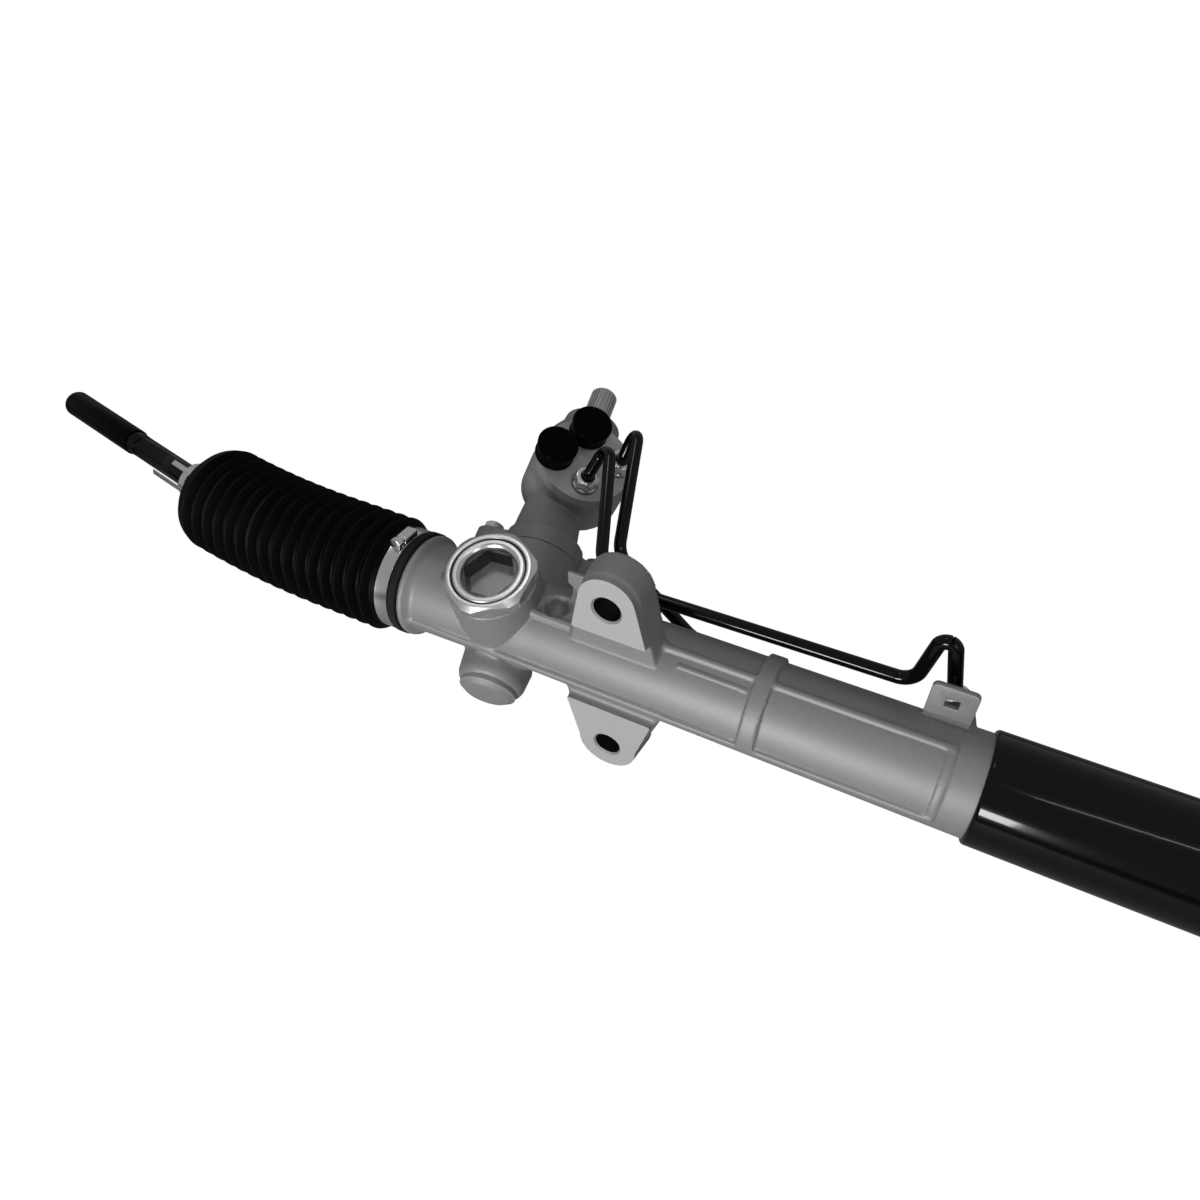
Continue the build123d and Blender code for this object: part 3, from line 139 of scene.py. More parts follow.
X = Vector((1, 0, 0))
Y = Vector((0, 1, 0))
YOKE_N = Vector((0, -sin(YOKE_TILT), cos(YOKE_TILT)))
BACK = Vector((0, cos(YOKE_TILT), sin(YOKE_TILT)))
PIN_U = X * sin(PIN_SKEW) + BACK * cos(PIN_SKEW)
PIN_W = PIN_U.cross(YOKE_N)
PORT_Q = YOKE_N * cos(PORT_TURN) + PIN_W * sin(PORT_TURN)
PORT_V = PIN_W * cos(PORT_TURN) - YOKE_N * sin(PORT_TURN)

# Places

PIN_O = Vector((-66.0, RACK_Y, 0)) - YOKE_N * 16.25
YOKE_O = Vector((-64.5, RACK_Y, 0))
RACK_O = Vector((0, RACK_Y, 0))
POCKET_AT = Vector((-33.5, 15.1, 22.0))
NUT_PORTS = ((84.0, 6.0), (103.0, 20.0))
CAP_PORTS = ((93.5, -14.8), (115.0, -2.0))
VALVE_BOLTS = ((-31.0, -2.0), (24.5, 18.0))
PORT_SEAT = Vector((144.5, RACK_Y + 19.5, 20.6))
PORT_PEAK = Vector((136.8, RACK_Y + 22.5, 51.0))
PORT_DIR = (PORT_PEAK - PORT_SEAT).normalized()
LONG_DIR = Vector((0, 41.0, -17.0)).normalized()

# Plain colours

GREY = (0.5, 0.5, 0.5, 1)
WHITE = (1, 1, 1, 1)


def on_port(along, across, height):
    """Point over the valve's port face, in mm."""
    return PIN_O + PIN_U * along + PORT_V * across + PORT_Q * height


def ball(side):
    """Centre of an inner ball joint, in mm."""
    return Vector((MID_X + side * BALL_HALF, RACK_Y, 0))


def rod_way(side):
    """Direction of a tie rod at rest, outwards."""
    return Vector((side * cos(ROD_TILT), sin(ROD_TILT) * cos(ROD_LIFT), sin(ROD_TILT) * sin(ROD_LIFT)))


# Properties

def length(label, use, default, low, high):
    return FloatProperty(name=label, description=use + ", in mm", default=default, min=low, max=high)


class RackSizes(bpy.types.PropertyGroup):
    """Sizes that shape the looks, in millimetres"""
    voxel: length("Casting grain", "Grid of the cast skins", 0.8, 0.6, 2.0)
    soften: IntProperty(name="Casting softness", description="Passes that round the cast corners",
                        default=3, min=0, max=60)
    crest_r: length("Fold crest", "Radius of a bellows fold", 30.5, 28.0, 31.0)
    valley_r: length("Fold valley", "Radius between the folds", 26.6, 24.0, 28.0)
    folds: IntProperty(name="Folds", description="Folds of each bellows", default=16, min=8, max=20)
    tube_r: length("Tube radius", "Outside of the cylinder", 25.0, 20.0, 25.0)
    pipe_r: length("Pipe radius", "Outside of the rigid pipes", 3.175, 2.5, 3.2)
    rod_r: length("Rod radius", "Tie rod", 6.9, 5.5, 7.0)
    cap_r: length("Cap radius", "Cap of the rod thread", 7.9, 7.2, 8.0)
    nut_flats: length("Lock nut flats", "Across the flats", 42.0, 38.0, 42.0)


def shade(label, value):
    return FloatVectorProperty(name=label, description=f"Colour of the {label.lower()}",
                               subtype="COLOR", size=3, default=value, min=0.0, max=1.0)


class RackColours(bpy.types.PropertyGroup):
    """Base colours of the finishes"""
    cast: shade("Cast aluminium", (0.33, 0.332, 0.335))
    milled: shade("Milled faces", (0.6, 0.602, 0.606))
    steel: shade("Bright steel", (0.74, 0.74, 0.75))
    ground: shade("Ground steel", (0.5, 0.5, 0.51))
    black: shade("Gloss black paint", (0.0015, 0.0015, 0.0016))
    rubber: shade("Bellows rubber", (0.0012, 0.0012, 0.0013))
    plastic: shade("Black plastic", (0.0012, 0.0012, 0.0012))
    liner: shade("Bearing plastic", (0.62, 0.58, 0.48))
    floor: shade("Floor", (0.55, 0.55, 0.55))


def sizes():
    return bpy.context.scene.rack_sizes


def colours():
    return bpy.context.scene.rack_colours


# Shader groups and materials

def shared_group(name, inputs, outputs, fill):
    """Shader node group with sockets of (name, kind, default), filled on its first use."""
    tree = bpy.data.node_groups.get(name)
    if tree is None:
        tree = bpy.data.node_groups.new(name, "ShaderNodeTree")
        for label, kind, value in inputs:
            socket = tree.interface.new_socket(label, in_out="INPUT", socket_type="NodeSocket" + kind)
            socket.default_value = value
        for label, kind in outputs:
            tree.interface.new_socket(label, in_out="OUTPUT", socket_type="NodeSocket" + kind)
        given = tree.nodes.new("NodeGroupInput").outputs
        wire(tree, tree.nodes.new("NodeGroupOutput"), fill(tree, given))
    return tree


def wire(tree, made, links):
    """Links a node's inputs to sockets, or gives them plain values, by name."""
    for key, value in links.items():
        if isinstance(value, bpy.types.NodeSocket):
            tree.links.new(value, made.inputs[key])
        else:
            made.inputs[key].default_value = value
    return made


def node(tree, kind, links=None, **values):
    """Adds a node, sets its properties and wires its inputs."""
    made = tree.nodes.new("ShaderNode" + kind)
    for key, value in values.items():
        setattr(made, key, value)
    return wire(tree, made, links or {})


def reckon(tree, operation, *terms):
    """Result of a math node with these terms."""
    return node(tree, "Math", dict(enumerate(terms)), operation=operation).outputs[0]


def grain_group():
    """Fine grain: a mottled colour, a roughness and a bump height, all from noise."""
    def fill(tree, given):
        place = node(tree, "TexCoord").outputs["Object"]
        fine = node(tree, "TexNoise", {"Vector": place, "Scale": given["Fine"], "Detail": 3.0,
                                       "Roughness": 0.6})
        broad = node(tree, "TexNoise", {"Vector": place, "Scale": given["Broad"], "Detail": 4.0})
        centred = reckon(tree, "SUBTRACT", broad.outputs["Fac"], 0.5)
        lift = reckon(tree, "ADD", reckon(tree, "MULTIPLY", centred, given["Vary"]), 1.0)
        tint = node(tree, "VectorMath", {0: given["Color"], "Scale": lift}, operation="SCALE")
        return {"Color": tint.outputs[0], "Height": fine.outputs["Fac"],
                "Roughness": reckon(tree, "MULTIPLY", given["Roughness"], lift)}
    return shared_group(
        "Surface grain",
        [("Color", "Color", GREY), ("Vary", "Float", 0.05), ("Roughness", "Float", 0.4),
         ("Fine", "Float", 900.0), ("Broad", "Float", 40.0)],
        [("Color", "Color"), ("Roughness", "Float"), ("Height", "Float")], fill)


def lathe_group():
    """Height of fine turned rings round an axis, from the distance to it."""
    def fill(tree, given):
        parts = node(tree, "SeparateXYZ", {0: given["Place"]})
        flat = node(tree, "CombineXYZ", {0: parts.outputs[0], 1: parts.outputs[1]})
        reach = node(tree, "VectorMath", {0: flat.outputs[0]}, operation="LENGTH")
        wave = reckon(tree, "MULTIPLY", reach.outputs["Value"], given["Rings"])
        noise = node(tree, "TexNoise", {"W": wave, "Scale": 1.0, "Detail": 2.0}, noise_dimensions="1D")
        return {"Height": noise.outputs["Fac"]}
    return shared_group("Turned rings", [("Place", "Vector", (0, 0, 0)), ("Rings", "Float", 1400.0)],
                        [("Height", "Float")], fill)


def wear_and_highlight_group():
    """Lightens the colour along sharp outer edges: wear on the metals, a painted highlight on the bellows'
    fold crests.
    """
    def fill(tree, given):
        shape = node(tree, "NewGeometry")
        edge = node(tree, "MapRange", {"Value": shape.outputs["Pointiness"], "From Min": 0.52,
                                       "From Max": 0.62, "To Max": given["Amount"]})
        mix = node(tree, "Mix", {"Factor": edge.outputs[0]}, data_type="RGBA")
        wire(tree, mix, {"A": given["Color"], "B": given["Wear and highlight"]})
        return {"Color": [o for o in mix.outputs if o.type == "RGBA"][0]}
    return shared_group(
        "Edge wear and highlight", [("Color", "Color", GREY), ("Wear and highlight", "Color", WHITE), ("Amount", "Float", 0.3)],
        [("Color", "Color")], fill)


def finish_look(name, colour, metal, grain, relief, coat=0.0, specular=0.5, wear_and_highlight=0.0,
                wear_and_highlight_colour=(0.8, 0.8, 0.8), rings=None):
    """Material of one finish. The prefix look_ keeps it apart from the frame's own materials.

    metal: metallic, roughness. grain: colour variation, scales of the fine and the broad noise.
    relief: strength and depth in metres of the bump. rings: point in mm and axis of turned rings.
    """
    name = "look_" + name
    if name in bpy.data.materials:
        return bpy.data.materials[name]
    look = bpy.data.materials.new(name)
    look.use_nodes = True
    tree = look.node_tree
    mottle = node(tree, "Group", node_tree=grain_group())
    wire(tree, mottle, {"Color": (*colour, 1), "Vary": grain[0], "Roughness": metal[1],
                        "Fine": grain[1], "Broad": grain[2]})
    paint, height = mottle.outputs["Color"], mottle.outputs["Height"]
    # Lighter sharp edges: wear, and on the bellows a painted highlight along the fold crests.
    if wear_and_highlight:
        wear_and_highlight_node = node(tree, "Group", node_tree=wear_and_highlight_group())
        wire(tree, wear_and_highlight_node, {"Color": paint, "Wear and highlight": (*wear_and_highlight_colour, 1), "Amount": wear_and_highlight})
        paint = wear_and_highlight_node.outputs["Color"]
    if rings:
        origin, axis = rings
        turn = facing(axis).to_matrix().transposed()
        centred = node(tree, "Mapping", {"Vector": node(tree, "TexCoord").outputs["Object"],
                                         "Location": -(turn @ (origin * MM)),
                                         "Rotation": turn.to_euler()})
        marks = node(tree, "Group", node_tree=lathe_group())
        height = wire(tree, marks, {"Place": centred.outputs[0]}).outputs["Height"]
    bump = node(tree, "Bump", {"Strength": relief[0], "Distance": relief[1], "Height": height})
    wire(tree, tree.nodes["Principled BSDF"], {
        "Base Color": paint, "Metallic": metal[0], "Roughness": mottle.outputs["Roughness"],
        "Specular IOR Level": specular, "Coat Weight": coat, "Coat Roughness": 0.06,
        "Normal": bump.outputs["Normal"]})
    return look


def cast_look():
    return finish_look("cast_aluminium", colours().cast, (0.4, 0.56), (0.16, 1300, 520), (0.45, 1.4e-4),
                       specular=0.4, wear_and_highlight=0.3, wear_and_highlight_colour=(0.6, 0.6, 0.61))


# Near-black look that stands in for shade: painted shade in the lug holes and in the gap round the adjuster
# plug.
def painted_shade_look():
    return finish_look("painted_bore_shade", (0.012, 0.012, 0.012), (0, 0.5), (0.1, 1500, 90), (0.1, 5e-5),
                       specular=0.2)


def disc_look():
    return finish_look("turned_disc", colours().milled, (0.4, 0.45), (0.5, 1800, 260), (0.2, 5e-5),
                       rings=(YOKE_O, YOKE_N))


def milled_look():
    return finish_look("milled_face", colours().milled, (0.35, 0.5), (0.06, 2600, 90), (0.12, 5e-5))


def bright_look(name="bright_turned_steel", rings=None):
    return finish_look(name, colours().steel, (1, 0.3), (0.08, 1800, 120), (0.06, 2e-5), rings=rings)


# Darkened copy of the plug's steel for the socket's walls: painted shade inside the deep socket.
def socket_shade_look():
    return finish_look("socket_steel_painted_shade", (0.09, 0.09, 0.09), (1, 0.28), (0.1, 1500, 120), (0.06, 4e-5))


def zinc_look():
    return finish_look("bright_zinc", colours().steel, (1, 0.26), (0.12, 1400, 160), (0.08, 5e-5), wear_and_highlight=0.2)


def band_look():
    return finish_look("band_steel", colours().steel, (1, 0.22), (0.1, 2200, 140), (0.06, 4e-5))


def ground_look():
    return finish_look("ground_steel", colours().ground, (1, 0.3), (0.08, 2000, 100), (0.08, 4e-5))


def black_look():
    return finish_look("gloss_black_paint", colours().black, (0, 0.16), (0.12, 420, 30), (0.02, 1e-4),
                       coat=0.3, specular=0.1)


def rod_look():
    return finish_look("black_rod_coat", colours().black, (0, 0.2), (0.15, 600, 60), (0.03, 1e-4),
                       coat=0.3, specular=0.06)


# Its lighter fold crests are a painted highlight.
def rubber_look():
    return finish_look("bellows_rubber", colours().rubber, (0, 0.5), (0.2, 1600, 80), (0.1, 6e-5),
                       specular=0.06, wear_and_highlight=0.9, wear_and_highlight_colour=(0.05, 0.05, 0.05))


def plastic_look():
    return finish_look("black_plastic", colours().plastic, (0, 0.3), (0.15, 1300, 90), (0.04, 6e-5),
                       specular=0.03)


def seal_look():
    return finish_look("seal_rubber", (0.02, 0.02, 0.02), (0, 0.6), (0.2, 1200, 80), (0.15, 8e-5))


def liner_look():
    return finish_look("bearing_plastic", colours().liner, (0, 0.4), (0.08, 1100, 70), (0.06, 6e-5))


def saddle_look():
    return finish_look("satin_black_steel", (0.012, 0.012, 0.013), (0, 0.36), (0.15, 900, 60), (0.08, 8e-5),
                       coat=0.3, wear_and_highlight=0.25, wear_and_highlight_colour=(0.12, 0.12, 0.12))


# Modelling helpers

def edit(action="SELECT"):
    """Enters edit mode with everything selected, or nothing."""
    bpy.ops.object.mode_set(mode="EDIT")
    bpy.ops.mesh.select_all(action=action)


def leave():
    bpy.ops.object.mode_set(mode="OBJECT")


def rest():
    """Leaves edit mode and deselects everything."""
    if bpy.context.object and bpy.context.object.mode != "OBJECT":
        leave()
    bpy.ops.object.select_all(action="DESELECT")


def pick(piece):
    """Makes a piece the only selected one, and active."""
    rest()
    bpy.context.view_layer.objects.active = piece
    piece.select_set(True)
    return piece


def named(name):
    """Names the new primitive and puts its place into its mesh."""
    piece = bpy.context.object
    piece.name = name
    piece.data.name = name
    bpy.ops.object.transform_apply(location=True, rotation=True, scale=True)
    return piece


def facing(axis, toward=None):
    """Turn that brings local Z to an axis and local X towards a direction."""
    z = Vector(axis).normalized()
    x = Vector(toward) if toward is not None else z.orthogonal()
    x = (x - z * x.dot(z)).normalized()
    return Matrix((x, z.cross(x), z)).transposed().to_euler()


def turned(name, origin, axis, section, steps=96):
    """Spins a section of (along, radius) points about an axis through origin. All in mm."""
    rest()
    axis = Vector(axis).normalized()
    across = axis.orthogonal().normalized()
    points = [(origin + axis * a + across * r) * MM for a, r in section]
    bpy.ops.mesh.primitive_plane_add(size=MM, location=points[0])
    piece = named(name)
    edit()
    bpy.ops.mesh.select_mode(type="VERT")
    bpy.ops.mesh.merge(type="CENTER")
    for here, there in zip(points, points[1:]):
        bpy.ops.mesh.extrude_region_move(TRANSFORM_OT_translate={"value": there - here})
    bpy.ops.mesh.select_all(action="SELECT")
    bpy.ops.mesh.spin(steps=steps, angle=2 * pi, center=origin * MM, axis=axis)
    bpy.ops.mesh.select_all(action="SELECT")
    bpy.ops.mesh.remove_doubles(threshold=2e-6)
    bpy.ops.mesh.normals_make_consistent(inside=False)
    leave()
    return piece


def block(name, centre, size, axis=(0, 0, 1), toward=(1, 0, 0)):
    """Box of a size in mm, its Z along an axis."""
    rest()
    bpy.ops.mesh.primitive_cube_add(size=1, location=Vector(centre) * MM, rotation=facing(axis, toward),
                                    scale=Vector(size) * MM)
    return named(name)


def drum(name, foot, axis, radius, height, sides=64, toward=None, tip=None):
    """Prism or cone that stands on foot, in mm."""
    rest()
    axis = Vector(axis).normalized()
    bpy.ops.mesh.primitive_cone_add(vertices=sides, radius1=radius * MM,
                                    radius2=(radius if tip is None else tip) * MM, depth=height * MM,
                                    location=(Vector(foot) + axis * height / 2) * MM,
                                    rotation=facing(axis, toward))
    return named(name)


def modify(piece, kind, **values):
    """Adds a modifier, sets it and applies it."""
    pick(piece)
    bpy.ops.object.modifier_add(type=kind)
    step = piece.modifiers[-1]
    for key, value in values.items():
        setattr(step, key, value)
    bpy.ops.object.modifier_apply(modifier=step.name)
    return piece


def cut(piece, tool, operation="DIFFERENCE", solver="EXACT"):
    """Boolean with a tool, which is then removed."""
    modify(piece, "BOOLEAN", operation=operation, object=tool, solver=solver)
    bpy.data.objects.remove(tool)
    return piece


def machined(piece, *tools):
    """Cuts tools off a closed skin, one by one."""
    for tool in tools:
        cut(piece, tool, solver="MANIFOLD")


def bevelled(piece, width, angle, segments=2):
    """Breaks the edges that are sharper than an angle in degrees. width in mm."""
    return modify(piece, "BEVEL", width=width * MM, segments=segments, limit_method="ANGLE",
                  angle_limit=radians(angle), harden_normals=False)


def hexed(piece, foot, axis, flats, height, edge, toward=None):
    """Keeps what lies inside a hexagon, given across its flats, and breaks its edges. All in mm."""
    corner = flats / 2 / cos(pi / 6)
    cut(piece, drum("flats", foot, axis, corner, height, 6, toward=toward), "INTERSECT")
    return bevelled(piece, edge, 25)


def joined(piece, *others):
    """Joins pieces into the first one."""
    pick(piece)
    for other in others:
        other.select_set(True)
    bpy.ops.object.join()
    return piece


def dressed(piece, look, body, slot, *nodes, angle=32):
    """Shades a finished piece, gives it its look and ties it to a body, or to none."""
    pick(piece)
    bpy.ops.object.shade_smooth_by_angle(angle=radians(angle))
    if look is not None:
        piece.data.materials.clear()
        piece.data.materials.append(look)
    if body is not None:
        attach(piece, body)
    if nodes:
        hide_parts(*nodes)
    return piece


def node_copy(name, source):
    """Loose copy of a CAD node's mesh, merged."""
    rest()
    piece = bpy.data.objects.new(name, frame["nodes"][source].data.copy())
    bpy.context.scene.collection.objects.link(piece)
    piece.data.materials.clear()
    pick(piece)
    edit()
    bpy.ops.mesh.remove_doubles(threshold=1e-6)
    leave()
    return piece


def raise_faces(piece, normal, level, by):
    """Extrudes the flat faces that lie at a level along a normal, in mm."""
    normal = Vector(normal).normalized()
    pick(piece)
    edit("DESELECT")
    bpy.ops.mesh.select_mode(type="FACE")
    leave()
    for face in piece.data.polygons:
        off = abs(face.center.dot(normal) - level * MM)
        face.select = face.normal.dot(normal) > 0.999 and off < 2e-5
    bpy.ops.object.mode_set(mode="EDIT")
    bpy.ops.mesh.extrude_region_move(TRANSFORM_OT_translate={"value": normal * by * MM})
    leave()


def melted(piece, voxel, passes):
    """Turns a piece into one even skin and rounds its corners like a casting."""
    modify(piece, "REMESH", mode="VOXEL", voxel_size=voxel * MM)
    if passes:
        modify(piece, "SMOOTH", factor=0.5, iterations=passes)
    return piece


def trued(piece, origin, axis, radius, span, slope=0.0, reach=0.7):
    """Draws the skin back onto a round surface where it strays by less than reach, in mm."""
    flat = np.empty(len(piece.data.vertices) * 3)
    piece.data.vertices.foreach_get("co", flat)
    places = flat.reshape(-1, 3) / MM
    local = places - np.array(origin)
    along = local @ np.array(axis)
    off = local - along[:, None] * np.array(axis)
    reached = np.maximum(np.linalg.norm(off, axis=1), 1e-6)
    aim = radius + slope * along
    pull = np.clip(2 - 2 * np.abs(reached - aim) / reach, 0, 1)
    pull = pull * (along > span[0]) * (along < span[1])
    places += off * (pull * (aim - reached) / reached)[:, None]
    piece.data.vertices.foreach_set("co", (places * MM).ravel())
    piece.data.update()


def soft_zone(piece, weight, passes):
    """Smooths further where weight(point in mm) is above 0."""
    group = piece.vertex_groups.new(name="zone")
    for vertex in piece.data.vertices:
        w = weight(vertex.co / MM)
        if w > 0:
            group.add([vertex.index], min(1.0, w), "REPLACE")
    modify(piece, "SMOOTH", factor=0.5, iterations=passes, vertex_group="zone")
    piece.vertex_groups.clear()


def cast_skin(piece, planes):
    """Cast look, with milled faces in planes of (normal, level in mm)."""
    piece.data.materials.clear()
    piece.data.materials.append(cast_look())
    piece.data.materials.append(milled_look())
    for face in piece.data.polygons:
        face.material_index = int(any(
            face.normal.dot(normal) > 0.998 and abs(face.center.dot(normal) / MM - level) < 0.06
            for normal, level in planes))


def tube_along(name, route, bends, radius):
    """Round bar along a route whose corners are rounded, all in mm."""
    points = [route[0]]
    for before, corner, after, bend in zip(route, route[1:], route[2:], bends):
        a, b = (before - corner).normalized(), (after - corner).normalized()
        half = a.angle(b) / 2
        centre = corner + (a + b).normalized() * bend / sin(half)
        start, end = corner + a * bend / tan(half), corner + b * bend / tan(half)
        count = max(4, int((pi - 2 * half) / BEND_STEP))
        for i in range(count + 1):
            spoke = (start - centre).slerp(end - centre, i / count)
            points.append(centre + spoke.normalized() * bend)
    points.append(route[-1])
    rest()
    bpy.ops.curve.primitive_nurbs_path_add()
    line = bpy.context.object
    line.data.splines.clear()
    spline = line.data.splines.new("POLY")
    spline.points.add(len(points) - 1)
    for target, point in zip(spline.points, points):
        target.co = (*(point * MM), 1)
    line.data.bevel_depth = radius * MM
    line.data.bevel_resolution = 8
    line.data.use_fill_caps = True
    bpy.ops.object.convert(target="MESH")
    return named(name)


# Cast pieces

class RACK_OT_gear_housing(bpy.types.Operator):
    """Cast gear housing with soft corners and milled lug faces"""
    bl_idname = "rack.gear_housing"
    bl_label = "Gear housing"

    def execute(self, context):
        size = sizes()
        seat = PIN_O.dot(PIN_U) + GASKET_AT
        piece = node_copy("cast_gear_housing", "gear_housing")
        cut(piece, block("old_tab", (TAB_X, TAB_Y + TAB_T / 2, 34.0), (24, 22, 4.6), Y))
        for normal, level, stock in ((-Y, 0.0, LUG_STOCK), (X, TUBE_START, HOUSING_STOCK),
                                     (PIN_U, seat, HOUSING_STOCK)):
            raise_faces(piece, normal, level, stock)
        melted(joined(piece, *housing_fills()), size.voxel, size.soften)
        soft_zone(piece, lug_root, 12)
        trued(piece, RACK_O, X, BARREL_R, (-40, TUBE_START + 1), BARREL_TAPER, reach=0.5)
        trued(piece, RACK_O, X, MOUTH_R, (-106, -40), MOUTH_TAPER, reach=0.5)
        trued(piece, PIN_O, PIN_U, PIN_BOSS_R, (0, 33), PIN_BOSS_TAPER)
        trued(piece, YOKE_O, YOKE_N, YOKE_BOSS_R, (10, 33), YOKE_BOSS_TAPER)
        machined(piece, *housing_mills())
        machined(piece, pocket_ball(), *lug_drills())
        machined(piece, *housing_bores())
        tab = clip_tab()
        cast_skin(piece, [(-Y, 0.0), (PIN_U, seat), (X, TUBE_START)])
        # Painted shade on the walls of the lug holes.
        paint_lug_hole_shade(piece)
        dressed(joined(piece, tab), None, "housing", "cast_aluminium", "gear_housing", angle=38)
        return {"FINISHED"}


def housing_fills():
    """Solids that close the bores, so that the skin has only an outside, and the pinion boss's shoulder."""
    fills = [drum("fill", RACK_O + X * -131.5, X, 19.6, 308.0), drum("fill", PIN_O, PIN_U, 18.0, 44.5),
             drum("fill", PIN_O - PIN_U * 33.9, PIN_U, 13.0, 40.0),
             drum("fill", YOKE_O, YOKE_N, 18.5, 33.2),
             turned("shoulder", PIN_O, PIN_U, [(-33.9, 0), (-33.9, 14.6), (-33.2, 16.0), (-30.5, 17.2),
                                               (-20.0, 18.2), (-14.5, 15.6), (-14.5, 0)])]
    fills += [drum("fill", (0, -1.9, z), Y, 9.0, 18.5) for z in (EAR_HOLE_Z, -EAR_HOLE_Z)]
    return fills + [drum("fill", valve_bolt(a, b) - PIN_U * 18, PIN_U, 4.0, 19.0) for a, b in VALVE_BOLTS]


def housing_mills():
    """Cutters for the lug faces, the tube's seat, the gasket's seat and the nut's seat."""
    return [block("mill", (0, -10, 50), (70, 20, 41)), block("mill", (0, -10, -41.5), (80, 20, 41)),
            block("mill", (TUBE_START + 15, RACK_Y, 0), (30, 80, 80)),
            block("mill", PIN_O + PIN_U * (GASKET_AT + MILL_T / 2), MILL, PIN_U),
            block("mill", YOKE_O + YOKE_N * (PLUG_TOP - NUT_T + 5), (60, 60, 10), YOKE_N)]


def pocket_ball():
    """Cutter for the round pocket between the yoke boss and the upper lug."""
    rest()
    bpy.ops.mesh.primitive_uv_sphere_add(segments=48, ring_count=24, location=POCKET_AT * MM,
                                         rotation=facing(POCKET_AT - RACK_O - X * POCKET_AT.x, X),
                                         scale=Vector((5.6, 7.4, 6.2)) * MM)
    return named("pocket")


def lug_drills():
    """Cutters for the two lug holes and their chamfers."""
    tools = []
    for z in (EAR_HOLE_Z, -EAR_HOLE_Z):
        tools += [drum("drill", (0, -1, z), Y, EAR_HOLE_R, 24),
                  drum("countersink", (0, -1, z), Y, EAR_HOLE_R + 1.9, 2, tip=EAR_HOLE_R - 0.1)]
    return tools


def housing_bores():
    """Cutters for the bores of the rack, the pinion and the yoke."""
    return [drum("bore", RACK_O + X * -140, X, MOUTH_BORE_R, 45.0),
            drum("bore", RACK_O + X * -96, X, RACK_BORE_R, 270),
            drum("bore", PIN_O - PIN_U * 30, PIN_U, PIN_LOW_BORE_R, 60),
            drum("bore", PIN_O + PIN_U * 20, PIN_U, PIN_BORE_R, 30),
            drum("bore", YOKE_O, YOKE_N, YOKE_BORE_R, 30),
            drum("bore", YOKE_O + YOKE_N * 23.5, YOKE_N, PLUG_THREAD_R, 12)]


def paint_lug_hole_shade(piece):
    """Paints shade on the walls of the lug holes: a near-black look stands in for the shadow inside them."""
    piece.data.materials.append(painted_shade_look())
    for face in piece.data.polygons:
        where = face.center / MM
        off = (where.x ** 2 + (abs(where.z) - EAR_HOLE_Z) ** 2) ** 0.5
        if abs(face.normal.y) < 0.3 and off < EAR_HOLE_R + 0.3:
            face.material_index = 2


def clip_tab():
    """Flat tab with rounded corners and a square hole for a clip."""
    plate = block("clip_tab", (TAB_X, TAB_Y + TAB_T / 2, 28.9), (19.0, 23.2, TAB_T), Y)
    pick(plate)
    weights = plate.data.attributes.new("bevel_weight_edge", "FLOAT", "EDGE")
    for edge in plate.data.edges:
        start, end = (plate.data.vertices[i].co for i in edge.vertices)
        if abs(start.y - end.y) > 1e-3:
            weights.data[edge.index].value = 1.0
    modify(plate, "BEVEL", width=2.6 * MM, segments=6, limit_method="WEIGHT")
    cut(plate, block("hole", (TAB_X, TAB_Y, 31.9), (5.8, 5.2, 8), Y))
    bevelled(plate, 0.3, 40)
    plate.data.materials.append(cast_look())
    return plate


def valve_bolt(across, below):
    """Seat of a valve housing bolt on the gasket plane, in mm."""
    return PIN_O + PIN_U * GASKET_AT + PIN_W * across - YOKE_N * below


def lug_root(p):
    """Weight of the wide fillets where the lugs and the bosses meet the barrel."""
    off = ((p.y - RACK_Y) ** 2 + p.z ** 2) ** 0.5
    if not -110 < p.x < 30:
        return 0.0
    return max(0.0, 1 - abs(off - 25.5) / 4.5)


